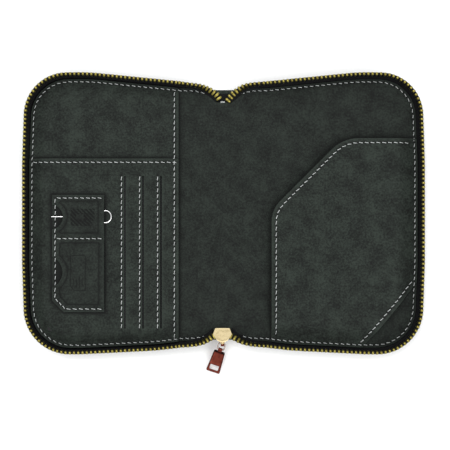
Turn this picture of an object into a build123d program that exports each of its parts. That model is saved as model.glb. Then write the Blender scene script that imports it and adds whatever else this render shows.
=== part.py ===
from build123d import *

import os
from math import atan2, cos, degrees, radians, sin

# Zip-around passport wallet, lying open.
# Frame: millimetres, +X towards the passport half, +Y towards the top edge, +Z up.
# The origin is on the spine's middle line, on the surface that the wallet lies on.
# The right half is the root, the spine folds up on it and the left half folds on the spine.

os.makedirs("parts", exist_ok=True)

# ---------------------------------------------------------------- driving sizes

# Plan outline along the line of the zip chain, right half, from the spine outwards.
# The lower edge bows out more than the upper one.
SPINE_END_Y = 70.1
UPPER_CORNERS = [
    # x, y, corner radius
    (8.0, SPINE_END_Y, 12.0),
    (17.0, 72.7, 20.0),
    (76.0, 78.6, 120.0),
    (111.1, 78.2, 23.5),
    (112.8, 28.0, 250.0),
]
LOWER_CORNERS = [
    # x, y, corner radius
    (8.0, -72.2, 12.0),
    (17.0, -74.3, 20.0),
    (38.0, -76.8, 120.0),
    (80.0, -78.9, 150.0),
    (111.1, -79.0, 25.0),
    (112.8, -28.0, 250.0),
]

# Where the two halves crease beside the spine.
FOLD_X = 9.5
FOLD_GAP = 0.3
FOLD_CLEARANCE = 0.15

# Sheet thicknesses.
COVER_THICK = 1.0
BOARD_THICK = 0.8
LINING_THICK = 0.8
POCKET_THICK = 0.8
CARD_LINING_THICK = 0.3

# Distances inwards from the chain line.
COVER_INSET = -0.35
LINING_INSET = 2.0
BORDER_STITCH_INSET = 3.6
TAPE_FLANGE_INSET = 8.6
BOARD_INSET = 9.0

# Zip.
TAPE_THICK = 0.7
TOOTH_PITCH = 2.4
TOOTH_ALONG = 1.6
TOOTH_ACROSS = 2.2
TOOTH_TALL = 3.4
TOOTH_CAP = 0.9
TOOTH_SLOT = 0.8
RIGID_CHAIN_X = 24.3
FLEX_CHAIN_X = 24.0

# Thread.
STITCH_PITCH = 3.3
STITCH_LENGTH = 2.3
STITCH_WIDTH = 0.55
STITCH_TALL = 0.2

# ---------------------------------------------------------------- derived levels

COVER_TOP = COVER_THICK
BOARD_TOP = COVER_TOP + BOARD_THICK
LINING_TOP = BOARD_TOP + LINING_THICK
FOLD_Z = LINING_TOP + FOLD_CLEARANCE
CLOSED_MID_Z = FOLD_Z + FOLD_X
TEETH_TOP = CLOSED_MID_Z - FOLD_CLEARANCE
TOOTH_BASE = TEETH_TOP - TOOTH_TALL
TAPE_TOP = TEETH_TOP - TOOTH_CAP

# Passport pocket on the right half: a sheet standing off the lining.
PASSPORT_GAP = 4.4
PASSPORT_UNDER = LINING_TOP + PASSPORT_GAP
PASSPORT_TOP = PASSPORT_UNDER + POCKET_THICK
PASSPORT_FLANGE_TOP = LINING_TOP + POCKET_THICK

# Cash pocket on the left half.
CASH_GAP = 1.4
CASH_FLANGE_TOP = LINING_TOP + POCKET_THICK
CASH_UNDER = LINING_TOP + CASH_GAP
CASH_TOP = CASH_UNDER + POCKET_THICK
CASH_STEP_INSET = 6.0
CASH_EDGE_X = -25.6

# Ticket pocket over the cash pocket, with three card pockets hanging behind it.
TICKET_FLANGE_TOP = CASH_FLANGE_TOP + POCKET_THICK
TICKET_GAP = 1.3
TICKET_UNDER = CASH_TOP + TICKET_GAP
TICKET_TOP = TICKET_UNDER + POCKET_THICK
TICKET_STEP_INSET = 4.9
TICKET_SEAM_TOP = CASH_TOP + POCKET_THICK
TICKET_EDGE_Y = 31.0
TICKET_STEP_X = -30.5
CARD_SLIT_XS = [-56.0, -45.7, -35.5]
CARD_SLIT_TOP_Y = 21.0
CARD_SLIT_LENGTH = 86.6
CARD_SLIT_WIDTH = 0.9
CARD_POCKET_DEPTH = 44.0

# Patch for a SIM card, its pin and a memory card, on the ticket pocket.
PATCH_LEFT_X = -97.3
PATCH_RIGHT_X = -67.7
PATCH_TOP_Y = 10.3
PATCH_BOTTOM_Y = -56.2
PATCH_CHAMFER = 6.7
PATCH_SEAM_WIDTH = 3.4
PATCH_MIDDLE_Y = -14.5
PATCH_SKIN = 0.7
PIN_DIAMETER = 1.0
PIN_LIFT = 0.3
PIN_Y = -2.1
PIN_TIP_X = -97.6
PIN_RING_LEFT_X = -70.6
PIN_RING_RIGHT_X = -63.2
PIN_RING_HIGH = 7.8
PIN_Z = TICKET_TOP + PIN_LIFT + PIN_DIAMETER / 2
PATCH_UNDER = PIN_Z + PIN_DIAMETER / 2 + 0.2
PATCH_TOP = PATCH_UNDER + PATCH_SKIN

# Zip slider, parked at the lower end of the spine.
SLIDER_X = -0.6
SLIDER_Y = -70.2
SLIDER_Z = 7.6
SLIDER_TILT = 38.0
SLIDER_HALF_LENGTH = 4.7
SLIDER_HALF_THICK = 2.1
SLIDER_PLATE_THICK = 0.9
CROWN_WIDTH = 2.0
CROWN_TALL = 2.5
CROWN_THICK = 1.0

# Pull ring and pull tab.
LINK_WIRE = 0.8
LINK_LENGTH = 3.9
LINK_HALF_WIDTH = 1.9
PULL_SLOPE = 16.0
PULL_SKEW = 18.6
PULL_THICK = 1.0
PULL_TOP_AT = 4.9
PULL_LENGTH = 13.4
PULL_TOP_WIDTH = 6.3
PULL_END_WIDTH = 8.1

# Big enough to reach past the whole wallet.
FAR = 300.0

# Boxes that stand on their own place.
STANDING = (Align.CENTER, Align.CENTER, Align.MIN)


# ---------------------------------------------------------------- helpers


def outline_corners():
    """All corners of the plan outline, anticlockwise from the top of the right spine edge."""
    upper_left = [(-x, y, r) for x, y, r in UPPER_CORNERS]
    lower_left = [(-x, y, r) for x, y, r in reversed(LOWER_CORNERS)]
    return list(reversed(UPPER_CORNERS)) + upper_left + lower_left + LOWER_CORNERS


def outline_face(inset):
    """The whole wallet's plan outline, moved inwards from the chain line."""
    corners = outline_corners()
    with BuildSketch() as face:
        with BuildLine():
            FilletPolyline(*[(x, y) for x, y, r in corners], radius=[r for x, y, r in corners], close=True)
        make_face()
        if inset:
            offset(amount=-inset, mode=Mode.REPLACE)
    return face.sketch


def keep_between(low_x, high_x, low_y, high_y):
    """Keep only what the open sketch has between two values of X and of Y."""
    with Locations((low_x, low_y)):
        Rectangle(high_x - low_x, high_y - low_y, align=(Align.MIN, Align.MIN), mode=Mode.INTERSECT)


def sheet_region(inset, low_x, high_x, low_y=-FAR, high_y=FAR):
    """The part of the outline between the given limits, as a sketch in the XY plane."""
    with BuildSketch() as region:
        add(outline_face(inset))
        keep_between(low_x, high_x, low_y, high_y)
    return region.sketch


def along_wire(wire, pitch, start=0.0):
    """Places at equal steps along a closed wire, each turned to lie along it."""
    places = []
    count = int(wire.length / pitch)
    step = wire.length / count
    for index in range(count):
        distance = (start * step + index * step) / wire.length
        point = wire.position_at(distance, position_mode=PositionMode.PARAMETER)
        along = wire.tangent_at(distance, position_mode=PositionMode.PARAMETER)
        places.append((point, degrees(atan2(along.Y, along.X))))
    return places


def finish(part, name):
    """Label a finished piece and write it out."""
    part.label = name
    export_step(part, f"parts/{name}.step")


# ---------------------------------------------------------------- covers, boards and lining

RIGHT_START = FOLD_X + FOLD_GAP / 2
SPINE_HALF = FOLD_X - FOLD_GAP / 2
ZONES = {"right": (RIGHT_START, FAR), "spine": (-SPINE_HALF, SPINE_HALF), "left": (-FAR, -RIGHT_START)}

for side, (low_x, high_x) in ZONES.items():
    with BuildPart() as outer_cover:
        with BuildSketch():
            add(sheet_region(COVER_INSET, low_x, high_x))
        extrude(amount=COVER_THICK)
    finish(outer_cover.part, f"outer_cover_{side}")

    with BuildPart() as lining:
        with BuildSketch(Plane.XY.offset(BOARD_TOP)):
            add(sheet_region(LINING_INSET, low_x, high_x))
        extrude(amount=LINING_THICK)
    finish(lining.part, f"lining_{side}")

BOARD_START_X = RIGHT_START + 2.0
for side, (low_x, high_x) in {"right": (BOARD_START_X, FAR), "left": (-FAR, -BOARD_START_X)}.items():
    with BuildPart() as board:
        with BuildSketch(Plane.XY.offset(COVER_TOP)):
            add(sheet_region(BOARD_INSET, low_x, high_x))
        extrude(amount=BOARD_THICK)
    finish(board.part, f"board_{side}")

SPINE_PAD_HALF = 7.5
with BuildPart() as spine_interlining:
    with BuildSketch(Plane.XY.offset(COVER_TOP)):
        RectangleRounded(2 * SPINE_PAD_HALF, 2 * (SPINE_END_Y - BOARD_INSET), 2.0)
    extrude(amount=BOARD_THICK)
finish(spine_interlining.part, "spine_interlining")

# ---------------------------------------------------------------- passport pocket (right half)

# The pocket's mouth faces the spine and the top edge; its outer lower corner is cut off.
PASSPORT_CORNERS = [
    # x, y, corner radius
    (27.3, 2.0, 17.0),
    (67.8, 42.5, 22.0),
]
PASSPORT_CUT_UPPER = (112.0, -37.6)
PASSPORT_CUT_LOWER = (75.7, -81.0)
PASSPORT_CUT_RUN = PASSPORT_CUT_UPPER[0] - PASSPORT_CUT_LOWER[0]
PASSPORT_CUT_SLOPE = (PASSPORT_CUT_UPPER[1] - PASSPORT_CUT_LOWER[1]) / PASSPORT_CUT_RUN
PASSPORT_STEP_X = 104.5
PASSPORT_STEP_Y = -70.0


def passport_edge(inset):
    """The free edge of the passport pocket, from the bottom seam round to the outer seam."""
    diagonal_shift = inset * (2**0.5 - 1)
    (left_x, lower_y, lower_radius), (upper_x, top_y, upper_radius) = PASSPORT_CORNERS
    points = [
        (left_x + inset, PASSPORT_CUT_LOWER[1]),
        (left_x + inset, lower_y - diagonal_shift),
        (upper_x + diagonal_shift, top_y - inset),
        (PASSPORT_CUT_UPPER[0], top_y - inset),
    ]
    return FilletPolyline(*points, radius=[lower_radius - inset, upper_radius - inset])


with BuildSketch() as passport_plan:
    with BuildLine():
        free_edge = passport_edge(0.0)
        Polyline(free_edge @ 1, PASSPORT_CUT_UPPER, PASSPORT_CUT_LOWER, free_edge @ 0)
    make_face()
    add(outline_face(LINING_INSET), mode=Mode.INTERSECT)

with BuildPart() as passport_pocket:
    with BuildSketch(Plane.XY.offset(LINING_TOP)):
        add(passport_plan.sketch)
    extrude(amount=POCKET_THICK)
    with BuildSketch(Plane.XY.offset(LINING_TOP)):
        add(passport_plan.sketch)
        keep_between(0, PASSPORT_STEP_X, PASSPORT_STEP_Y, FAR)
    extrude(amount=PASSPORT_TOP - LINING_TOP)
    with BuildSketch(Plane.XY.offset(LINING_TOP)):
        add(passport_plan.sketch)
        keep_between(0, PASSPORT_STEP_X - POCKET_THICK, PASSPORT_STEP_Y + POCKET_THICK, FAR)
    extrude(amount=PASSPORT_GAP, mode=Mode.SUBTRACT)
finish(passport_pocket.part, "passport_pocket")

# ---------------------------------------------------------------- cash pocket (left half)

with BuildPart() as cash_pocket:
    with BuildSketch(Plane.XY.offset(LINING_TOP)):
        add(sheet_region(LINING_INSET, -FAR, CASH_EDGE_X))
    extrude(amount=POCKET_THICK)
    with BuildSketch(Plane.XY.offset(LINING_TOP)):
        add(sheet_region(CASH_STEP_INSET, -FAR, CASH_EDGE_X))
    extrude(amount=CASH_TOP - LINING_TOP)
    with BuildSketch(Plane.XY.offset(LINING_TOP)):
        add(sheet_region(CASH_STEP_INSET + POCKET_THICK, -FAR, CASH_EDGE_X))
    extrude(amount=CASH_GAP, mode=Mode.SUBTRACT)
finish(cash_pocket.part, "cash_pocket")

# ---------------------------------------------------------------- ticket pocket and card pockets

TICKET_CAVITY_INSET = TICKET_STEP_INSET + POCKET_THICK
CARD_SLIT_MIDDLE_Y = CARD_SLIT_TOP_Y - CARD_SLIT_LENGTH / 2

with BuildPart() as ticket_pocket:
    with BuildSketch(Plane.XY.offset(CASH_FLANGE_TOP)):
        add(sheet_region(LINING_INSET, -FAR, TICKET_STEP_X, -FAR, TICKET_EDGE_Y))
    extrude(amount=POCKET_THICK)
    with BuildSketch(Plane.XY.offset(CASH_FLANGE_TOP)):
        add(sheet_region(TICKET_STEP_INSET, -FAR, TICKET_STEP_X, -FAR, TICKET_EDGE_Y))
    extrude(amount=TICKET_TOP - CASH_FLANGE_TOP)
    with BuildSketch(Plane.XY.offset(CASH_FLANGE_TOP)):
        add(sheet_region(TICKET_STEP_INSET, TICKET_STEP_X, CASH_EDGE_X, -FAR, TICKET_EDGE_Y))
    extrude(amount=TICKET_SEAM_TOP - CASH_FLANGE_TOP)
    with BuildSketch(Plane.XY.offset(CASH_FLANGE_TOP)):
        add(sheet_region(TICKET_CAVITY_INSET, -FAR, TICKET_STEP_X - POCKET_THICK, -FAR, TICKET_EDGE_Y))
    extrude(amount=TICKET_UNDER - CASH_FLANGE_TOP, mode=Mode.SUBTRACT)
    with BuildSketch(Plane.XY.offset(CASH_FLANGE_TOP)):
        add(sheet_region(TICKET_CAVITY_INSET, -FAR, CASH_EDGE_X, -FAR, TICKET_EDGE_Y))
    extrude(amount=CASH_TOP - CASH_FLANGE_TOP, mode=Mode.SUBTRACT)
    with BuildSketch(Plane.XY.offset(TICKET_UNDER)):
        with Locations(*[(x, CARD_SLIT_MIDDLE_Y) for x in CARD_SLIT_XS]):
            SlotOverall(CARD_SLIT_LENGTH, CARD_SLIT_WIDTH, rotation=90)
    extrude(amount=POCKET_THICK, mode=Mode.SUBTRACT)
finish(ticket_pocket.part, "ticket_pocket")

# Each card slides in to the left of its slit. The pocket of the outer slit is uppermost.
CARD_LINING_STEP = CARD_LINING_THICK + 0.1
CARD_LINING_OVERLAP = 1.0
CARD_LINING_EXTRA = 3.0
CARD_LINING_CORNER = 1.5
for number, slit_x in enumerate(CARD_SLIT_XS, start=1):
    top_z = TICKET_UNDER - 0.1 - (number - 1) * CARD_LINING_STEP
    with BuildPart() as card_pocket:
        with BuildSketch(Plane.XY.offset(top_z - CARD_LINING_THICK)):
            with Locations((slit_x + CARD_LINING_OVERLAP, CARD_SLIT_MIDDLE_Y)):
                RectangleRounded(
                    CARD_POCKET_DEPTH + CARD_LINING_OVERLAP,
                    CARD_SLIT_LENGTH + CARD_LINING_EXTRA,
                    CARD_LINING_CORNER,
                    align=(Align.MAX, Align.CENTER),
                )
        extrude(amount=CARD_LINING_THICK)
    finish(card_pocket.part, f"card_pocket_{number}")

# ---------------------------------------------------------------- patch for the small cards

# Finger notches on the sewn edge, as centre X, centre Y and radius.
FINGER_NOTCHES = [(-97.8, -2.2, 6.85), (-100.5, -33.5, 9.3)]
PATCH_CAVITY_LEFT_X = PATCH_LEFT_X + PATCH_SEAM_WIDTH
PATCH_MIDDLE_HALF = 1.3
PATCH_UPPER_CAVITY = (PATCH_MIDDLE_Y + PATCH_MIDDLE_HALF, PATCH_TOP_Y - PATCH_SEAM_WIDTH)
PATCH_LOWER_CAVITY = (PATCH_BOTTOM_Y + PATCH_SEAM_WIDTH, PATCH_MIDDLE_Y - PATCH_MIDDLE_HALF)
PATCH_WIDE = PATCH_RIGHT_X - PATCH_LEFT_X

with BuildPart() as sim_card_patch:
    with BuildSketch(Plane.XY.offset(TICKET_TOP)):
        with BuildLine():
            Polyline(
                (PATCH_LEFT_X, PATCH_TOP_Y),
                (PATCH_LEFT_X, PATCH_BOTTOM_Y + PATCH_CHAMFER),
                (PATCH_LEFT_X + PATCH_CHAMFER, PATCH_BOTTOM_Y),
                (PATCH_RIGHT_X, PATCH_BOTTOM_Y),
                (PATCH_RIGHT_X, PATCH_TOP_Y),
                close=True,
            )
        make_face()
        for notch_x, notch_y, notch_radius in FINGER_NOTCHES:
            with Locations((notch_x, notch_y)):
                Circle(notch_radius, mode=Mode.SUBTRACT)
    extrude(amount=PATCH_TOP - TICKET_TOP)
    for low_y, high_y in (PATCH_UPPER_CAVITY, PATCH_LOWER_CAVITY):
        with BuildSketch(Plane.XY.offset(TICKET_TOP)):
            with Locations((PATCH_CAVITY_LEFT_X, low_y)):
                Rectangle(PATCH_WIDE, high_y - low_y, align=(Align.MIN, Align.MIN))
        extrude(amount=PATCH_UNDER - TICKET_TOP, mode=Mode.SUBTRACT)
finish(sim_card_patch.part, "sim_card_patch")

# The eject pin: a straight wire with a flat ring for the finger.
PIN_RING_MIDDLE_X = (PIN_RING_LEFT_X + PIN_RING_RIGHT_X) / 2
PIN_RING_WIDE = PIN_RING_RIGHT_X - PIN_RING_LEFT_X - PIN_DIAMETER
with BuildPart() as sim_pin:
    with BuildSketch(Plane((PIN_TIP_X, PIN_Y, PIN_Z), x_dir=(0, 1, 0), z_dir=(1, 0, 0))):
        Circle(PIN_DIAMETER / 2)
    extrude(amount=PIN_RING_LEFT_X - PIN_TIP_X + PIN_DIAMETER / 2)
    with BuildLine(Plane((PIN_RING_MIDDLE_X, PIN_Y, PIN_Z))):
        ring_high = PIN_RING_HIGH - PIN_DIAMETER
        FilletPolyline(
            (PIN_RING_WIDE / 2, ring_high / 2),
            (-PIN_RING_WIDE / 2, ring_high / 2),
            (-PIN_RING_WIDE / 2, -ring_high / 2),
            (PIN_RING_WIDE / 2, -ring_high / 2),
            radius=PIN_RING_WIDE * 0.45,
            close=True,
        )
    with BuildSketch(Plane((PIN_RING_MIDDLE_X + PIN_RING_WIDE / 2, PIN_Y, PIN_Z), z_dir=(0, 1, 0))):
        Circle(PIN_DIAMETER / 2)
    sweep()
finish(sim_pin.part, "sim_pin")

# ---------------------------------------------------------------- zip: tape and teeth on the halves

TAPE_HALF = TAPE_THICK / 2


def wall_region(low_x, high_x, low_y=-FAR, high_y=FAR):
    """The standing strip of tape in plan, between the given limits."""
    with BuildSketch() as region:
        add(sheet_region(-TAPE_HALF, low_x, high_x, low_y, high_y))
        add(outline_face(TAPE_HALF), mode=Mode.SUBTRACT)
    return region.sketch


def flange_region(low_x, high_x):
    """The part of the tape that is sewn in between cover and lining."""
    with BuildSketch() as region:
        add(sheet_region(-TAPE_HALF, low_x, high_x))
        add(outline_face(TAPE_FLANGE_INSET), mode=Mode.SUBTRACT)
    return region.sketch


chain_wire = outline_face(0.0).wire()
chain_places = {
    "right": [(p, turn) for p, turn in along_wire(chain_wire, TOOTH_PITCH) if p.X > RIGID_CHAIN_X + 1],
    "left": [(p, turn) for p, turn in along_wire(chain_wire, TOOTH_PITCH, 0.5) if p.X < -RIGID_CHAIN_X - 1],
}

for side, low_x, high_x in (("right", RIGID_CHAIN_X, FAR), ("left", -FAR, -RIGID_CHAIN_X)):
    with BuildPart() as zipper_tape:
        with BuildSketch(Plane.XY.offset(COVER_TOP)):
            add(flange_region(low_x, high_x))
        extrude(amount=BOARD_THICK)
        with BuildSketch(Plane.XY.offset(COVER_TOP)):
            add(wall_region(low_x, high_x))
        extrude(amount=TAPE_TOP - COVER_TOP)
    finish(zipper_tape.part, f"zipper_tape_{side}")

    # Each tooth is clinched over the beaded edge of the tape.
    with BuildPart() as zipper_teeth:
        with Locations(*[Location((p.X, p.Y, TOOTH_BASE), (0, 0, turn)) for p, turn in chain_places[side]]):
            Box(TOOTH_ALONG, TOOTH_ACROSS, TOOTH_TALL, align=STANDING)
            Box(TOOTH_ALONG, TOOTH_SLOT, TOOTH_TALL - TOOTH_CAP, align=STANDING, mode=Mode.SUBTRACT)
    finish(zipper_teeth.part, f"zipper_teeth_{side}")

# ---------------------------------------------------------------- zip: flexible ends over the spine

# At the top of the spine the two chains lie down and meet in a V.
V_CHAIN = [(13.6, 71.8), (11.6, 71.3), (9.4, 70.2), (7.3, 68.9), (5.4, 67.2), (3.9, 65.3)]
V_TOOTH_LONG = 3.2
V_TOOTH_TALL = 1.9
END_CLEARANCE = 0.05
V_TAPE_BASE = LINING_TOP + END_CLEARANCE
V_TAPE_THICK = 0.45
V_WEB_POINTS = [(-9.2, 69.6), (-2.4, 62.9), (2.4, 62.9), (9.2, 69.6)]
TALL_FROM_X = 15.0

with BuildPart() as zipper_tape_top_end:
    for low_x, high_x in ((TALL_FROM_X, FLEX_CHAIN_X), (-FLEX_CHAIN_X, -TALL_FROM_X)):
        with BuildSketch(Plane.XY.offset(COVER_TOP + END_CLEARANCE)):
            add(wall_region(low_x, high_x, 0, FAR))
        extrude(amount=TOOTH_BASE - COVER_TOP - END_CLEARANCE)
    with BuildSketch(Plane.XY.offset(V_TAPE_BASE)):
        Polygon(*V_WEB_POINTS, align=None)
    extrude(amount=V_TAPE_THICK)
finish(zipper_tape_top_end.part, "zipper_tape_top_end")


def tall_places(low_x, upper):
    """Chain places standing upright between the given X and the rigid chain, both sides."""
    return [
        (p, turn)
        for p, turn in along_wire(chain_wire, TOOTH_PITCH, 0.25)
        if low_x < abs(p.X) < FLEX_CHAIN_X - 1 and (p.Y > 0) == upper
    ]


def v_places():
    """Places of the flat teeth in the V, with the turn that points each along its chain."""
    places = []
    for side in (1, -1):
        for (x, y), (next_x, next_y) in zip(V_CHAIN, V_CHAIN[1:]):
            turn = degrees(atan2(next_y - y, side * (next_x - x)))
            places.append((side * (x + next_x) / 2, (y + next_y) / 2, turn))
    return places


with BuildPart() as zipper_teeth_top_end:
    tall_start_x = TALL_FROM_X + TOOTH_ALONG / 2
    tall_teeth = tall_places(tall_start_x, True)
    with Locations(*[Location((p.X, p.Y, TOOTH_BASE), (0, 0, turn)) for p, turn in tall_teeth]):
        Box(TOOTH_ALONG, TOOTH_ACROSS, TOOTH_TALL, align=STANDING)
    v_base = V_TAPE_BASE + V_TAPE_THICK
    with Locations(*[Location((x, y, v_base), (0, 0, turn)) for x, y, turn in v_places()]):
        Box(TOOTH_ALONG, V_TOOTH_LONG, V_TOOTH_TALL, align=STANDING)
finish(zipper_teeth_top_end.part, "zipper_teeth_top_end")

# A short thread bar tack closes the point of the V.
BAR_TACK_Y = 62.2
BAR_TACK_SIZE = (3.4, 0.8, 0.4)
with BuildPart() as bar_tack:
    with Locations((0, BAR_TACK_Y, LINING_TOP)):
        Box(*BAR_TACK_SIZE, align=STANDING)
finish(bar_tack.part, "bar_tack")

# At the bottom of the spine the chains run into the slider's two mouths.
MOUTH_X = 6.4
MOUTH_BASE = 5.4
SLOPE_END_X = 13.5
with BuildPart() as zipper_tape_bottom_end:
    for low_x, high_x in ((MOUTH_X, FLEX_CHAIN_X), (-FLEX_CHAIN_X, -MOUTH_X)):
        with BuildSketch(Plane.XY.offset(COVER_TOP + END_CLEARANCE)):
            add(wall_region(low_x, high_x, -FAR, 0))
        extrude(amount=TOOTH_BASE - COVER_TOP - END_CLEARANCE)
    # Below the slider the wall's top slopes down towards the mouths.
    with BuildSketch(Plane.XZ.offset(0)):
        Polygon(
            (-SLOPE_END_X, TEETH_TOP),
            (-SLOPE_END_X, TOOTH_BASE),
            (-MOUTH_X, MOUTH_BASE),
            (MOUTH_X, MOUTH_BASE),
            (SLOPE_END_X, TOOTH_BASE),
            (SLOPE_END_X, TEETH_TOP),
            align=None,
        )
    extrude(amount=FAR, mode=Mode.SUBTRACT)
finish(zipper_tape_bottom_end.part, "zipper_tape_bottom_end")


def bottom_height(x):
    """Level at which the lower chain stands on its tape at a distance from the spine's middle."""
    rise = (TOOTH_BASE - MOUTH_BASE) / (SLOPE_END_X - MOUTH_X)
    return min(TOOTH_BASE, MOUTH_BASE + rise * max(0.0, abs(x) - MOUTH_X))


LOWER_CHAIN_START = MOUTH_X + 0.9
with BuildPart() as zipper_teeth_bottom_end:
    with Locations(
        *[
            Location((p.X, p.Y, bottom_height(abs(p.X) + TOOTH_ALONG)), (0, 0, turn))
            for p, turn in tall_places(LOWER_CHAIN_START, False)
        ]
    ):
        Box(TOOTH_ALONG, TOOTH_ACROSS, TOOTH_TALL, align=STANDING)
finish(zipper_teeth_bottom_end.part, "zipper_teeth_bottom_end")

# ---------------------------------------------------------------- slider

# Local axes: X across, Y towards the slider's rear, Z out of the plate that faces the inside.
tilt = radians(SLIDER_TILT)
slider_plane = Plane((SLIDER_X, SLIDER_Y, SLIDER_Z), x_dir=(1, 0, 0), z_dir=(0, sin(tilt), cos(tilt)))
INNER_PLATE_CORNERS = [
    # x, y, corner radius
    (4.15, SLIDER_HALF_LENGTH, 0.8),
    (5.5, 0.4, 1.6),
    (3.0, -3.4, 2.0),
    (0.0, -5.0, 1.5),
]
# The plate on the outside is narrower towards the front.
OUTER_PLATE_CORNERS = [
    # x, y, corner radius
    (4.15, SLIDER_HALF_LENGTH, 0.8),
    (4.9, 1.2, 1.6),
    (1.5, -2.4, 1.2),
    (0.0, -4.6, 0.9),
]
CHANNEL_HALF = SLIDER_HALF_THICK - SLIDER_PLATE_THICK
WEDGE_POINTS = [(0, -4.2), (1.2, -1.9), (0, 0.8), (-1.2, -1.9)]
RAIL_POINTS = [(3.5, 4.5), (4.1, 4.5), (4.65, 1.5), (4.05, 1.5)]
RAIL_TALL = 0.7
SLIDER_PLATES = [(-SLIDER_HALF_THICK, OUTER_PLATE_CORNERS), (CHANNEL_HALF, INNER_PLATE_CORNERS)]

with BuildPart() as slider_body:
    for low_z, right_corners in SLIDER_PLATES:
        corners = right_corners + [(-x, y, r) for x, y, r in reversed(right_corners[:-1])]
        with BuildSketch(slider_plane.offset(low_z)):
            with BuildLine():
                FilletPolyline(
                    *[(x, y) for x, y, r in corners], radius=[r for x, y, r in corners], close=True
                )
            make_face()
        extrude(amount=SLIDER_PLATE_THICK)
    # The wedge between the plates that parts the two chains.
    with BuildSketch(slider_plane.offset(-CHANNEL_HALF)):
        Polygon(*WEDGE_POINTS, align=None)
    extrude(amount=2 * CHANNEL_HALF)
    # The rails along both sides that keep the chain in.
    for low_z in (-CHANNEL_HALF, CHANNEL_HALF - RAIL_TALL):
        with BuildSketch(slider_plane.offset(low_z)):
            for side in (1, -1):
                Polygon(*[(side * x, y) for x, y in RAIL_POINTS], align=None)
        extrude(amount=RAIL_TALL)
finish(slider_body.part, "slider_body")

CROWN_FRONT = -4.0
CROWN_REAR = 2.5
CROWN_POST = 0.7
CROWN_OPENING = CROWN_TALL - CROWN_THICK
crown_side = Plane(origin=(-CROWN_WIDTH / 2, 0, -SLIDER_HALF_THICK), z_dir=(1, 0, 0), x_dir=(0, 1, 0))
crown_plane = slider_plane * crown_side
with BuildPart() as slider_crown:
    with BuildSketch(crown_plane):
        with BuildLine():
            FilletPolyline(
                (CROWN_FRONT, 0),
                (CROWN_FRONT, -CROWN_TALL),
                (CROWN_REAR, -CROWN_TALL),
                (CROWN_REAR, 0),
                radius=[0.7, 0.7],
            )
            Line((CROWN_REAR, 0), (CROWN_FRONT, 0))
        make_face()
        with Locations(((CROWN_FRONT + CROWN_REAR) / 2, -CROWN_OPENING / 2)):
            Rectangle(CROWN_REAR - CROWN_FRONT - 2 * CROWN_POST, CROWN_OPENING, mode=Mode.SUBTRACT)
    extrude(amount=CROWN_WIDTH)
finish(slider_crown.part, "slider_crown")

# ---------------------------------------------------------------- pull ring and pull tab

# The ring's near bar passes under the crown; the tab's knuckle turns on its far bar.
RING_AT = (-2.6, -SLIDER_HALF_THICK - CROWN_OPENING / 2)
ring_point = slider_plane.from_local_coords(Vector(0, RING_AT[0], RING_AT[1]))
skew = radians(PULL_SKEW)
slope = radians(PULL_SLOPE)
pull_along = Vector(-sin(skew) * cos(slope), -cos(skew) * cos(slope), -sin(slope))
pull_across = Vector(cos(skew), -sin(skew), 0)
pull_plane = Plane(ring_point, x_dir=pull_along, z_dir=pull_along.cross(pull_across))
pull_side = pull_plane.y_dir

WIRE_RADIUS = LINK_WIRE / 2
with BuildPart() as pull_link:
    with BuildLine(pull_plane):
        FilletPolyline(
            (0, -LINK_HALF_WIDTH),
            (LINK_LENGTH, -LINK_HALF_WIDTH),
            (LINK_LENGTH, LINK_HALF_WIDTH),
            (0, LINK_HALF_WIDTH),
            radius=0.45,
            close=True,
        )
    with BuildSketch(Plane(ring_point, x_dir=pull_along, z_dir=pull_side)):
        Circle(WIRE_RADIUS)
    sweep()
finish(pull_link.part, "pull_link")

KNUCKLE_RADIUS = 0.95
KNUCKLE_HOLE = WIRE_RADIUS + 0.08
KNUCKLE_HALF = 1.2
WINDOW_LONG = 3.1
WINDOW_WIDE = 5.0
WINDOW_END = 1.3
PULL_END_AT = PULL_TOP_AT + PULL_LENGTH
with BuildPart() as pull_tab:
    with BuildSketch(pull_plane.offset(-PULL_THICK / 2)):
        Polygon(
            (PULL_TOP_AT, -PULL_TOP_WIDTH / 2),
            (PULL_END_AT, -PULL_END_WIDTH / 2),
            (PULL_END_AT, PULL_END_WIDTH / 2),
            (PULL_TOP_AT, PULL_TOP_WIDTH / 2),
            align=None,
        )
        with Locations((PULL_END_AT - WINDOW_END - WINDOW_LONG / 2, 0)):
            RectangleRounded(WINDOW_LONG, WINDOW_WIDE, 0.4, mode=Mode.SUBTRACT)
        with Locations(((LINK_LENGTH + PULL_TOP_AT) / 2, 0)):
            Rectangle(PULL_TOP_AT - LINK_LENGTH, 2 * KNUCKLE_HALF)
    extrude(amount=PULL_THICK)
    knuckle_origin = pull_plane.from_local_coords(Vector(LINK_LENGTH, -KNUCKLE_HALF, 0))
    with BuildSketch(Plane(knuckle_origin, x_dir=pull_along, z_dir=pull_side)):
        Circle(KNUCKLE_RADIUS)
    extrude(amount=2 * KNUCKLE_HALF)
    with BuildSketch(Plane(knuckle_origin, x_dir=pull_along, z_dir=pull_side)):
        Circle(KNUCKLE_HOLE)
    extrude(amount=2 * KNUCKLE_HALF, mode=Mode.SUBTRACT)
finish(pull_tab.part, "pull_tab")


# ---------------------------------------------------------------- stitching

# Thread lies on each seam as a row of short stitches, each a separate length of visible thread.
HEM_INSET = 2.6
EDGE_MARGIN = 1.8


def stitch_row(start, end, level):
    """Stitches in a straight row between two points, as (x, y, z, turn)."""
    length = ((end[0] - start[0]) ** 2 + (end[1] - start[1]) ** 2) ** 0.5
    count = max(1, round(length / STITCH_PITCH))
    turn = degrees(atan2(end[1] - start[1], end[0] - start[0]))
    steps = [(index + 0.5) / count for index in range(count)]
    return [
        (start[0] + (end[0] - start[0]) * t, start[1] + (end[1] - start[1]) * t, level, turn) for t in steps
    ]


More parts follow.
